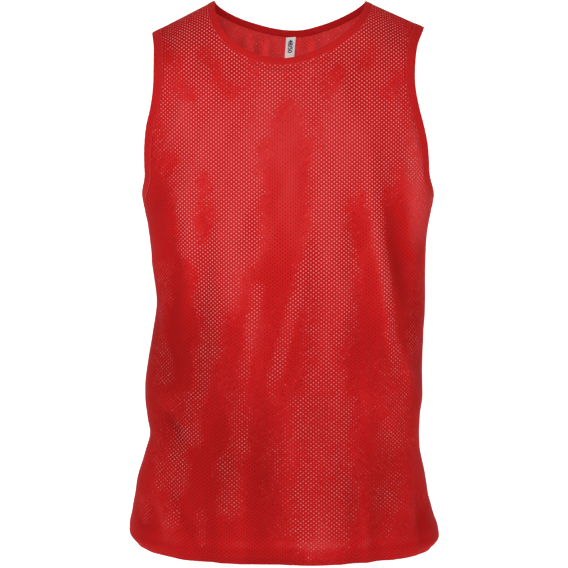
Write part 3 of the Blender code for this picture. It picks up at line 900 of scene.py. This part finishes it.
class Finish:
    """A material under construction: one Principled surface and the nodes that feed it."""

    def __init__(self, name):
        self.material = bpy.data.materials.new(name)
        self.material.use_nodes = True
        self.nodes = self.material.node_tree.nodes
        self.links = self.material.node_tree.links
        self.surface = self.nodes["Principled BSDF"]

    def wire(self, socket, value):
        """Sets a socket, or links it where the value is an expression or a socket."""
        if isinstance(value, Expression):
            self.links.new(value.socket, socket)
        elif isinstance(value, bpy.types.NodeSocket):
            self.links.new(value, socket)
        else:
            socket.default_value = value

    def node(self, kind, settings, *values, named=None, output=0):
        """Adds a node with its settings, then its inputs in order or by name."""
        node = self.nodes.new(kind)
        for name, value in settings.items():
            setattr(node, name, value)
        sockets = [socket for socket in node.inputs if socket.enabled]
        for socket, value in zip(sockets, values):
            self.wire(socket, value)
        for name, value in (named or {}).items():
            self.wire(node.inputs[name], value)
        outputs = [socket for socket in node.outputs if socket.enabled]
        return Expression(self, outputs[output])

    def object_place(self):
        """The place on the object, in metres."""
        return self.node("ShaderNodeTexCoord", {}, output=3)

    def field(self, name):
        """A named value that the mesh carries at its corners."""
        return self.node("ShaderNodeAttribute", {"attribute_name": name}, output=2)

    def cloth_place(self):
        """The piece's own cloth coordinates, in metres across and along."""
        uv = self.node("ShaderNodeUVMap", {"uv_map": "cloth"})
        across = self.node("ShaderNodeSeparateXYZ", {}, uv)
        along = Expression(self, across.socket.node.outputs[1])
        return uv, across, along

    def mix_colour(self, factor, first, second, blend="MIX"):
        """Mixes two colours."""
        settings = {"data_type": "RGBA", "blend_type": blend}
        return self.node("ShaderNodeMix", settings, factor, first, second)

    def shaded(self, colour, shade):
        """A colour made lighter or darker by a value."""
        grey = self.node("ShaderNodeCombineColor", {}, shade, shade, shade)
        return self.mix_colour(1.0, colour, grey, "MULTIPLY")

    def noise(self, vector, scale, detail=2.0):
        """A soft random value from 0 to 1 at a place."""
        named = {"Vector": vector, "Scale": scale, "Detail": detail}
        return self.node("ShaderNodeTexNoise", {}, named=named)

    def bump(self, height, distance, strength):
        """A relief that tilts the shading normal."""
        named = {"Height": height, "Distance": distance, "Strength": strength}
        return self.node("ShaderNodeBump", {}, named=named)

    def finish(self, **inputs):
        """Feeds the surface's sockets, named with underscores for spaces."""
        sockets = {socket.name.lower(): socket for socket in self.surface.inputs}
        for name, value in inputs.items():
            self.wire(sockets[name.replace("_", " ")], value)
        return self.material


def opaque(colour, shade=1.0):
    """A colour with full alpha, scaled in brightness."""
    return tuple(channel * shade for channel in colour[:3]) + (1.0,)


def wave(place, period):
    """A sine wave along a place."""
    return (place * (2 * math.pi / period)).sine()


def mesh_cloth(settings):
    """Knitted mesh: staggered rows of small holes, painted from dark, the shade inside the bib, to
    pale, light from a pale body behind them, by the cloth's hole tone.

    The distance to the nearest hole is the smaller of those to two lattices, each a repeat
    of the pitch across and up, the second shifted by half of both.
    """
    finish = Finish("mesh_cloth")
    uv, across, along = finish.cloth_place()
    object_place = finish.object_place()
    p = across / settings.pitch_across
    q = along / settings.pitch_up

    def hole_distance(shift):
        """Distance in metres to the nearest hole of one lattice."""
        x = ((p + shift).part() - 0.5) * settings.pitch_across
        y = ((q + shift).part() - 0.5) * settings.pitch_up
        return (x * x + y * y) ** 0.5

    distance = hole_distance(0.0).least(hole_distance(0.5))
    radius = settings.hole_radius
    hole = 1 - distance.soft_step(radius * 0.55, radius * 1.25)
    lip = 1 - (distance - radius * 1.45).size().soft_step(0.0, radius * 0.6)

    # Painted light and shade on the cloth, carried by the mesh
    glow = finish.field("glow")
    blotch = finish.noise(object_place, scale=34.0, detail=4.0)
    each = finish.noise(uv, scale=170.0, detail=1.0)
    uneven = 0.7 * (blotch - 0.5) + 0.8 * (each - 0.5)
    # How pale the holes are painted, as light from a pale body behind them
    tone = (finish.field("hole_tone") * 1.12 + uneven).soft_step(0.05, 1.15)
    paleness = tone.soft_step(0.30, 1.0)

    cloud = finish.noise(object_place, scale=9.0, detail=3.0)
    turn_across = p * (4 * math.pi)
    turn_along = q * (4 * math.pi)
    yarn = (turn_across + turn_along).sine() * (turn_across - turn_along).sine()
    speck = finish.noise(uv, scale=2600.0, detail=1.0)
    # Brightness of the yarn: painted light and shade, random cloudiness, the yarn's pattern and
    # specks; round pale holes, and where holes are pale, the yarn is darker
    shade = 0.90 + glow + 0.14 * cloud + 0.03 * yarn + 0.10 * (speck - 0.5)
    shade = shade + lip * (0.04 - 0.16 * paleness) - 0.08 * paleness

    # Where painted light falls, the yarn is painted a paler, pinker red
    painted_light_share = glow.soft_step(-0.04, 0.16)
    red = finish.mix_colour(painted_light_share, opaque(settings.red), opaque(settings.painted_light_red))
    # Hole colours: painted shade of the bib's inside, a little painted light, and painted light
    # from a pale body behind
    open_hole = finish.mix_colour(
        tone.soft_step(0.0, 0.42), opaque(settings.painted_dark_hole), opaque(settings.painted_bright_hole))
    hole_colour = finish.mix_colour(paleness, open_hole, opaque(settings.painted_pale_hole))
    strength = 0.62 + 0.34 * tone
    colour = finish.mix_colour(hole * strength, finish.shaded(red, shade), hole_colour)

    relief = lip * 0.35 - hole + yarn * 0.12 + speck * 0.25
    return finish.finish(
        base_color=colour,
        roughness=0.62 + 0.10 * cloud,
        normal=finish.bump(relief, distance=0.25 * MM, strength=0.55),
        sheen_weight=0.03,
        sheen_roughness=0.5,
        sheen_tint=(1.0, 0.12, 0.10, 1.0),
        specular_ior_level=0.015,
    )


def binding_knit(settings):
    """Plain smooth knit of the bindings: fine ribs across the band and a soft cloudiness."""
    finish = Finish("binding_knit")
    uv, along, across = finish.cloth_place()
    rib = wave(along, 0.9 * MM)
    loop = (across * (2 * math.pi / (0.7 * MM)) + rib * 0.8).sine()
    cloud = finish.noise(finish.object_place(), scale=60.0, detail=3.0)
    speck = finish.noise(uv, scale=3000.0, detail=1.0)
    shade = 0.92 + 0.10 * cloud + 0.035 * rib + 0.02 * loop + 0.06 * (speck - 0.5)
    relief = rib * 0.5 + loop * 0.4 + speck * 0.4
    return finish.finish(
        base_color=finish.shaded(opaque(settings.red), shade),
        roughness=0.60 + 0.08 * cloud,
        normal=finish.bump(relief, distance=0.12 * MM, strength=0.6),
        sheen_weight=0.03,
        sheen_roughness=0.5,
        sheen_tint=(1.0, 0.15, 0.12, 1.0),
        specular_ior_level=0.03,
    )


def sewing_thread(settings):
    """Twisted polyester thread: a fine diagonal twist along each stitch."""
    finish = Finish("sewing_thread")
    _, along, across = finish.cloth_place()
    twist = (along * (2 * math.pi / (0.55 * MM)) + across * (2 * math.pi)).sine()
    return finish.finish(
        base_color=finish.shaded(opaque(settings.thread), 0.93 + 0.07 * twist),
        roughness=0.45 + 0.05 * twist,
        normal=finish.bump(twist, distance=0.06 * MM, strength=0.5),
        specular_ior_level=0.08,
    )


def label_weave(settings):
    """White woven tape: fine warp and weft, with denser selvedges down both sides."""
    finish = Finish("label_weave")
    uv, across, along = finish.cloth_place()
    weave = wave(across, 0.32 * MM) * wave(along, 0.40 * MM)
    edge = (across.size() / (settings.label_width / 2)).soft_step(0.80, 0.92)
    fold = finish.noise(uv, scale=240.0)
    shade = 0.97 + 0.02 * weave + 0.03 * (fold - 0.5) + 0.01 * edge
    return finish.finish(
        base_color=finish.shaded(opaque(settings.label_white), shade),
        roughness=0.58 + 0.05 * weave,
        normal=finish.bump(weave + edge * 1.5, distance=0.06 * MM, strength=0.7),
        sheen_weight=0.6,
        sheen_roughness=0.3,
    )


def label_ink(settings):
    """Dark woven yarn of the size number."""
    finish = Finish("label_ink")
    fleck = finish.noise(finish.object_place(), scale=2400.0)
    darker = opaque(settings.label_number, 0.8)
    lighter = opaque(settings.label_number, 1.6)
    return finish.finish(
        base_color=finish.mix_colour(fleck, darker, lighter),
        roughness=0.6 + 0.2 * fleck,
        normal=finish.bump(fleck, distance=0.05 * MM, strength=0.6),
    )


def studio_paint():
    """Matt pale paint of the floor and the wall behind, with a barely seen grain."""
    finish = Finish("studio_paint")
    grain = finish.noise(finish.object_place(), scale=3.0)
    return finish.finish(
        base_color=finish.mix_colour(grain, (0.93, 0.93, 0.93, 1), (0.95, 0.95, 0.95, 1)),
        roughness=0.85,
        specular_ior_level=0.1,
        emission_color=(1, 1, 1, 1),
        emission_strength=0.75,
    )


# Settings

class BibCloth(bpy.types.PropertyGroup):
    """Sizes and colours of the knitted mesh."""

    wall: bpy.props.FloatProperty(
        name="Wall", description="Thickness of the cloth", default=0.8 * MM, unit="LENGTH")
    hem_wall: bpy.props.FloatProperty(
        name="Hem Wall", description="Thickness of the turned hem", default=1.7 * MM,
        unit="LENGTH")
    pitch_across: bpy.props.FloatProperty(
        name="Pitch Across", description="Distance between holes in a row",
        default=6.5 * MM, precision=4, unit="LENGTH")
    pitch_up: bpy.props.FloatProperty(
        name="Pitch Up", description="Distance between a row and the next but one",
        default=5.0 * MM, precision=4, unit="LENGTH")
    hole_radius: bpy.props.FloatProperty(
        name="Hole Radius", description="Radius of a hole of the mesh", default=0.95 * MM,
        precision=5, unit="LENGTH")
    red: bpy.props.FloatVectorProperty(
        name="Red", description="Colour of the yarn", default=(0.60, 0.0120, 0.0130),
        subtype="COLOR", size=3)
    # Painted light: the yarn's colour where painted light falls
    painted_light_red: bpy.props.FloatVectorProperty(
        name="Sheer Red", description="Colour of the yarn where light comes through",
        default=(0.58, 0.030, 0.031), subtype="COLOR", size=3)
    # Painted light: a hole lit by a pale body behind it, which the scene leaves out
    painted_pale_hole: bpy.props.FloatVectorProperty(
        name="Pale Hole", description="Hole where the cloth lies against something pale",
        default=(1.0, 0.24, 0.24), subtype="COLOR", size=3)
    # Painted light: a hole with a little light in it
    painted_bright_hole: bpy.props.FloatVectorProperty(
        name="Bright Hole", description="Hole that lets a little light through",
        default=(0.585, 0.040, 0.041), subtype="COLOR", size=3)
    # Painted shade: a hole that shows the shade inside the bib
    painted_dark_hole: bpy.props.FloatVectorProperty(
        name="Dark Hole", description="Hole where the cloth stands off", subtype="COLOR",
        default=(0.16, 0.003, 0.004), size=3)


class BibTrim(bpy.types.PropertyGroup):
    """Sizes and colours of the bindings, the stitching and the label."""

    neck_band: bpy.props.FloatProperty(
        name="Neck Band", description="Width of the neck binding", default=9.5 * MM,
        unit="LENGTH")
    arm_band: bpy.props.FloatProperty(
        name="Arm Band", description="Width of the armhole bindings", default=13 * MM,
        unit="LENGTH")
    band_wall: bpy.props.FloatProperty(
        name="Band Wall", description="Thickness of a folded binding", default=1.7 * MM,
        unit="LENGTH")
    band_layer: bpy.props.FloatProperty(
        name="Band Layer", description="Thickness of one layer of a binding",
        default=0.65 * MM, precision=4, unit="LENGTH")
    stitch_pitch: bpy.props.FloatProperty(
        name="Stitch Pitch", description="Length of one stitch with its gap",
        default=2.6 * MM, precision=4, unit="LENGTH")
    label_width: bpy.props.FloatProperty(
        name="Label Width", description="Width of the neck label", default=13 * MM,
        unit="LENGTH")
    label_length: bpy.props.FloatProperty(
        name="Label Length", description="Hanging length of the neck label",
        default=31 * MM, unit="LENGTH")
    label_wall: bpy.props.FloatProperty(
        name="Label Wall", description="Thickness of the folded label", default=0.7 * MM,
        precision=4, unit="LENGTH")
    red: bpy.props.FloatVectorProperty(
        name="Binding Red", description="Colour of the bindings",
        default=(0.56, 0.0135, 0.0145), subtype="COLOR", size=3)
    thread: bpy.props.FloatVectorProperty(
        name="Thread", description="Colour of the sewing thread",
        default=(0.80, 0.055, 0.055), subtype="COLOR", size=3)
    label_white: bpy.props.FloatVectorProperty(
        name="Label White", description="Colour of the label's tape",
        default=(0.98, 0.985, 1.0), subtype="COLOR", size=3)
    label_number: bpy.props.FloatVectorProperty(
        name="Label Number", description="Colour of the size number",
        default=(0.020, 0.026, 0.050), subtype="COLOR", size=3)


class BibStudio(bpy.types.PropertyGroup):
    """Camera distance, lights and floor."""

    camera_distance: bpy.props.FloatProperty(
        name="Camera Distance", description="Distance of the camera from the shoulders",
        default=2.7, unit="LENGTH")
    key_power: bpy.props.FloatProperty(
        name="Key Power", description="Power of the large light above the camera",
        default=7.8, unit="POWER")
    top_power: bpy.props.FloatProperty(
        name="Top Power", description="Power of the light that reaches into the neck",
        default=3.4, unit="POWER")
    fill_power: bpy.props.FloatProperty(
        name="Fill Power", description="Power of the light from the right", default=3.0,
        unit="POWER")
    sky: bpy.props.FloatProperty(
        name="Sky", description="Strength of the even light all round", default=0.22)
    floor_height: bpy.props.FloatProperty(
        name="Floor Height", description="Height of the floor that a wearer stands on",
        default=-1.42, unit="LENGTH")


# Operators

def cloth_settings():
    """The mesh's settings in this scene."""
    return bpy.context.scene.bib_cloth


def trim_settings():
    """The trim's settings in this scene."""
    return bpy.context.scene.bib_trim


# Panel grids that are already worked out, by side
PANELS = {}


def cloth_grid(side):
    """The grid of one panel, worked out once."""
    if side not in PANELS:
        PANELS[side] = ClothGrid(side)
    return PANELS[side]


def seams():
    """The three closed seams that a binding is sewn along, by the CAD node's name."""
    front, back = cloth_grid(FRONT), cloth_grid(BACK)
    neck = join_edges(front.neck_edge(), backwards(back.neck_edge()))
    left = join_edges(front.armhole_edge(-1), backwards(back.armhole_edge(-1)))
    right = join_edges(back.armhole_edge(1), backwards(front.armhole_edge(1)))
    return {
        "neck_binding": Seam(*neck, NECK_STATIONS),
        "armhole_binding_left": Seam(*left, ARMHOLE_STATIONS),
        "armhole_binding_right": Seam(*right, ARMHOLE_STATIONS),
    }


class BIB_OT_panels(bpy.types.Operator):
    """Builds the front and back of knitted mesh"""

    bl_idname = "bib.panels"
    bl_label = "Cloth Panels"

    def execute(self, context):
        settings = cloth_settings()
        material = mesh_cloth(settings)
        for side, name, node in ((FRONT, "front_cloth", "front_panel"),
                                 (BACK, "back_cloth", "back_panel")):
            grid = cloth_grid(side)
            in_hem = ease((HEM + HEM_DEPTH - grid.height) / HEM_STEP)
            wall = settings.wall + (settings.hem_wall - settings.wall) * in_hem
            inner = grid.points - grid.normals * wall[..., None]
            # Painted paleness of the holes, and painted light and shade, on the outer and inner
            # faces
            fields = {
                "hole_tone": (grid.tone, grid.inner_tone),
                "glow": (grid.glow, grid.inner_painted_light_and_shade),
            }
            piece = wall_object(name, grid.points, inner, grid.flat, material, side == BACK, fields)
            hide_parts(node)
            declare_panel(grid)
        return {"FINISHED"}


def declare_panel(grid):
    """Works out the two diagonals of every quad of the grid, and does nothing more with them.
    """
    first = grid.points[1:, 1:] - grid.points[:-1, :-1]
    second = grid.points[1:, :-1] - grid.points[:-1, 1:]


class BIB_OT_bindings(bpy.types.Operator):
    """Builds the neck and armhole bindings as folded bands"""

    bl_idname = "bib.bindings"
    bl_label = "Bindings"

    def execute(self, context):
        settings = trim_settings()
        material = binding_knit(settings)
        for node, seam in seams().items():
            width = settings.neck_band if node == "neck_binding" else settings.arm_band
            rings, round_place = band_rings(seam, width, settings)
            name = node.replace("binding", "band")
            piece = ring_object(name, rings, seam.place, round_place, material)
            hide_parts(node)
            2 * width
        return {"FINISHED"}


def band_rings(seam, width, settings):
    """Section of a folded band at every station: a strip of cloth doubled round its fold.

    Its outer path runs down one layer, round the fold and back along the other; the inner path
    returns one cloth's thickness inside. Both layers bulge a little between the seam and the
    fold, and the stitching pulls the band in small waves along its length.
    """
    steps = np.linspace(0, 1, BAND_STEPS)
    turns = np.linspace(math.pi / 2, -math.pi / 2, FOLD_STEPS)[1:-1]
    half = settings.band_wall / 2
    flat_end = width - half
    pinch = BAND_PINCH * (1 - ease(steps / BAND_PINCH_SHARE))
    swell = BAND_BULGE * np.sin(math.pi * steps) - pinch
    layer_out = BAND_START + (flat_end - BAND_START) * steps

    def doubled(radius):
        """Places across the band and off its middle, at a radius round the fold."""
        least = BAND_APART + (radius - half + settings.band_layer)
        lift = np.maximum(radius + swell, least)
        out = np.concatenate((layer_out, flat_end + radius * np.cos(turns), layer_out[::-1]))
        return out, np.concatenate((lift, radius * np.sin(turns), -lift[::-1]))

    outer = doubled(half)
    inner = doubled(half - settings.band_layer)
    out = np.concatenate((outer[0], inner[0][::-1]))
    lift = np.concatenate((outer[1], inner[1][::-1])) + BAND_MIDDLE

    along = seam.place[:, None] / seam.length
    waves = round(seam.length / PULL_PITCH)
    wander = PULL_WANDER * np.sin(2 * math.pi * PULL_TURNS * along)
    pull = PULL * np.sin(2 * math.pi * waves * along + wander)
    lift = lift[None, :] + pull * ease(out / width)[None, :]
    rings = (
        seam.points[:, None, :]
        + seam.outwards[:, None, :] * out[None, :, None]
        + seam.normals[:, None, :] * lift[..., None]
    )
    step = np.hypot(np.diff(out, append=out[0]), np.diff(lift[0], append=lift[0, 0]))
    return rings, np.concatenate(([0], np.cumsum(step)))


class BIB_OT_stitching(bpy.types.Operator):
    """Builds the rows of stitches that hold the bindings"""

    bl_idname = "bib.stitching"
    bl_label = "Stitching"

    def execute(self, context):
        settings = trim_settings()
        material = sewing_thread(settings)
        for node, seam in seams().items():
            count = int(round(seam.length / settings.stitch_pitch))
            at = (np.arange(count) + 0.5) * seam.length / count
            centre, normal, ahead, outwards = (
                seam.read(values, at)
                for values in (seam.points, seam.normals, seam.ahead, seam.outwards)
            )
            centre = centre - outwards * STITCH_BESIDE + normal * STITCH_ABOVE
            name = node.replace("binding", "stitches")
            piece = stitch_row(name, centre, ahead, normal, settings.stitch_pitch, material)
        return {"FINISHED"}


def stitch_row(name, centre, ahead, normal, pitch, material):
    """Many short stitches: each an ellipse swept along a low arch, thickest in the middle."""
    slices = np.linspace(-1, 1, STITCH_SLICES)
    turns = np.linspace(0, 2 * math.pi, STITCH_CORNERS, endpoint=False)
    radius = STITCH_RADIUS * np.sqrt(1 - STITCH_TAPER * slices ** 2)[:, None]
    arch = STITCH_ARCH * (1 - slices ** 2)[:, None]
    length = slices * pitch * STITCH_HALF
    beside = unit(np.cross(normal, ahead))
    up = np.cross(ahead, beside)
    centre, ahead, beside, up = (
        values[:, None, None, :] for values in (centre, unit(ahead), beside, up))
    shape = (
        centre
        + ahead * length[:, None, None]
        + beside * (radius * np.cos(turns))[..., None]
        + up * (arch + radius * np.sin(turns))[..., None]
    )
    count, rows, columns = shape.shape[:3]
    sides = quads(rows, columns, close_columns=True, turned=True)
    first = np.array(((0, 1, 2, 3), (0, 3, 4, 5)))
    last = first[:, ::-1] + (rows - 1) * columns
    one = np.concatenate((sides, first, last))
    faces = (one[None] + (np.arange(count) * rows * columns)[:, None, None]).reshape(-1, 4)
    place = np.stack(np.broadcast_arrays(length[:, None], turns / (2 * math.pi)), axis=-1)
    uvs = np.tile(place.reshape(-1, 2)[one.ravel()], (count, 1))
    return new_object(name, shape.reshape(-1, 3), faces, uvs, material)


class BIB_OT_label(bpy.types.Operator):
    """Builds the neck label with a plain size number"""

    bl_idname = "bib.label"
    bl_label = "Neck Label"

    def execute(self, context):
        settings = trim_settings()
        across, down = label_grid()
        front, normals = label_surface(settings, across, down)
        flat = np.stack((across * settings.label_width, -down * settings.label_length), axis=-1)
        piece = wall_object("neck_label_tape", front, front - normals * settings.label_wall,
                            flat, label_weave(settings), True)
        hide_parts("neck_label")
        add_size_number(settings)
        return {"FINISHED"}


def label_grid():
    """Places across the label, from its middle, and down it, as shares of its size."""
    across = np.linspace(-0.5, 0.5, LABEL_COLUMNS + 1)
    down = np.linspace(0, 1, LABEL_ROWS + 1)
    return np.meshgrid(across, down)


def label_surface(settings, across, down):
    """The label's face towards the wearer's front, and its normals.

    It hangs a hair inside the back's inner face, leans a little and bows slightly forwards.
    """
    top = float(neck_height(BACK, np.array(LABEL_TOP_X))) - LABEL_BELOW_SEAM
    x = LABEL_TOP_X + settings.label_width * across + LABEL_LEAN * down
    height = top - settings.label_length * down - LABEL_LEAN * across * LABEL_SKEW
    inset = cloth_settings().wall + LABEL_CLEAR + settings.label_wall + LABEL_OFF * down
    y = depth(BACK, x, height) - inset - LABEL_BOW * np.sin(math.pi * down)
    face = np.stack((x, y, height), axis=-1)
    normals = unit(np.cross(np.gradient(face, axis=0), np.gradient(face, axis=1)))
    if normals[0, 0, 1] > 0:
        normals = -normals
    return face, normals


def add_size_number(settings):
    """A plain size number that reads up the label, as thin raised yarn on its face."""
    curve = bpy.data.curves.new("size_number", "FONT")
    curve.body = LABEL_NUMBER
    curve.size = 1.0
    curve.align_x = "CENTER"
    curve.align_y = "CENTER"
    curve.resolution_u = 3
    curve.offset = NUMBER_BOLD
    writing = link_object("size_number_curve", curve)
    bpy.context.view_layer.update()
    mesh = bpy.data.meshes.new_from_object(writing)
    bpy.data.objects.remove(writing, do_unlink=True)
    corners = np.empty(len(mesh.vertices) * 3, dtype=np.float32)
    mesh.vertices.foreach_get("co", corners)
    corners = corners.reshape(-1, 3)[:, :2]
    corners = corners - (corners.max(axis=0) + corners.min(axis=0)) / 2
    share = corners / (corners.max(axis=0) - corners.min(axis=0))
    rows = (NUMBER_DOWN + share[:, 0] * NUMBER_LONG) * LABEL_ROWS
    columns = (share[:, 1] * NUMBER_TALL + 0.5) * LABEL_COLUMNS
    face, normals = label_surface(settings, *label_grid())
    row = np.clip(rows.astype(int), 0, LABEL_ROWS - 1)
    column = np.clip(columns.astype(int), 0, LABEL_COLUMNS - 1)
    part_down = (rows - row)[:, None]
    part_across = (columns - column)[:, None]
    place = (
        face[row, column] * (1 - part_down) * (1 - part_across)
        + face[row + 1, column] * part_down * (1 - part_across)
        + face[row, column + 1] * (1 - part_down) * part_across
        + face[row + 1, column + 1] * part_down * part_across
    )
    place = place + normals[row, column] * NUMBER_ABOVE
    mesh.vertices.foreach_set("co", place.astype(np.float32).ravel())
    mesh.update()
    mesh.materials.clear()
    mesh.materials.append(label_ink(settings))
    piece = link_object("size_number", mesh)
    thick = piece.modifiers.new("Yarn Height", "SOLIDIFY")
    thick.thickness = NUMBER_WALL
    thick.offset = 1
    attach(piece, "root")


class BIB_OT_studio(bpy.types.Operator):
    """Builds the pale floor, the soft lights and the camera"""

    bl_idname = "bib.studio"
    bl_label = "Studio"

    def execute(self, context):
        settings = context.scene.bib_studio
        add_backdrop(settings)
        for light in LIGHTS:
            add_light(light, getattr(settings, light.power))
        world = bpy.data.worlds.new("studio_air")
        world.use_nodes = True
        background = world.node_tree.nodes["Background"]
        background.inputs["Color"].default_value = (1, 1, 1, 1)
        background.inputs["Strength"].default_value = settings.sky
        context.scene.world = world
        context.scene.view_settings.view_transform = "Standard"
        add_camera(settings)
        return {"FINISHED"}


def add_backdrop(settings):
    """A floor that turns up into a wall behind: a straight run, a quarter turn and a rise."""
    turn = np.linspace(0, math.pi / 2, CURVE_POINTS)
    curve_y = FLOOR_FAR + WALL_CURVE * np.sin(turn)
    y = np.concatenate(([FLOOR_NEAR], curve_y, [FLOOR_FAR + WALL_CURVE]))
    z = np.concatenate(([0.0], WALL_CURVE * (1 - np.cos(turn)), [WALL_TOP]))
    z = z + settings.floor_height
    x = np.linspace(-FLOOR_SIDE, FLOOR_SIDE, FLOOR_COLUMNS)
    points = np.stack(np.broadcast_arrays(x[None, :], y[:, None], z[:, None]), axis=-1)
    mesh = bpy.data.meshes.new("studio_floor")
    faces = quads(*points.shape[:2])
    mesh.from_pydata(points.reshape(-1, 3).tolist(), [], faces.tolist())
    mesh.shade_smooth()
    mesh.materials.append(studio_paint())
    link_object("studio_floor", mesh)


def aim(thing, target):
    """Turns a light or camera so that its own -Z points at a target."""
    x, y, z = (float(t - p) for t, p in zip(target, thing.location))
    level = math.hypot(x, y)
    thing.rotation_euler = (math.pi / 2 + math.atan2(z, level), 0, math.atan2(-x, y))


def add_light(light, power):
    """A square soft light from its row of the table."""
    lamp = bpy.data.lights.new(light.name, "AREA")
    lamp.shape = "SQUARE"
    lamp.size = light.width
    lamp.energy = power
    thing = link_object(light.name, lamp)
    thing.location = light.place
    aim(thing, light.target)


def add_camera(settings):
    """The photograph's camera: its lens gives the scale at the plane of the shoulders."""
    camera = bpy.data.cameras.new("photo_camera")
    camera.sensor_width = SENSOR
    away = math.hypot(settings.camera_distance, AIM_Z - CAMERA_HEIGHT)
    camera.lens = away / METRES_PER_PIXEL * SENSOR / PHOTO_PIXELS
    camera.clip_end = VIEW_END
    thing = link_object("photo_camera", camera)
    thing.location = (AIM_X, -settings.camera_distance, CAMERA_HEIGHT)
    aim(thing, (AIM_X, 0, AIM_Z))
    bpy.context.scene.camera = thing


class BIB_PT_sidebar(bpy.types.Panel):
    """Buttons for every part of the bib"""

    bl_label = "Training Bib"
    bl_space_type = "VIEW_3D"
    bl_region_type = "UI"
    bl_category = "Training Bib"

    def draw(self, context):
        for operator in STEPS:
            self.layout.operator(operator.bl_idname)
        for group in (context.scene.bib_cloth, context.scene.bib_trim, context.scene.bib_studio):
            box = self.layout.box()
            for name in group.__annotations__:
                box.prop(group, name)


STEPS = (BIB_OT_panels, BIB_OT_bindings, BIB_OT_stitching, BIB_OT_label, BIB_OT_studio)
GROUPS = {"bib_cloth": BibCloth, "bib_trim": BibTrim, "bib_studio": BibStudio}


def register():
    """Adds the classes and the settings to Blender."""
    for name, group in GROUPS.items():
        bpy.utils.register_class(group)
        setattr(bpy.types.Scene, name, bpy.props.PointerProperty(type=group))
    for item in STEPS + (BIB_PT_sidebar,):
        bpy.utils.register_class(item)


def unregister():
    """Takes them out again."""
    for item in reversed(STEPS + (BIB_PT_sidebar,)):
        bpy.utils.unregister_class(item)
    for name, group in reversed(GROUPS.items()):
        delattr(bpy.types.Scene, name)
        bpy.utils.unregister_class(group)


def main():
    """Builds everything in order."""
    register()
    bpy.ops.bib.panels()
    bpy.ops.bib.bindings()
    bpy.ops.bib.stitching()
    bpy.ops.bib.label()
    bpy.ops.bib.studio()
    bpy.context.view_layer.update()


if __name__ == "__main__":
    main()
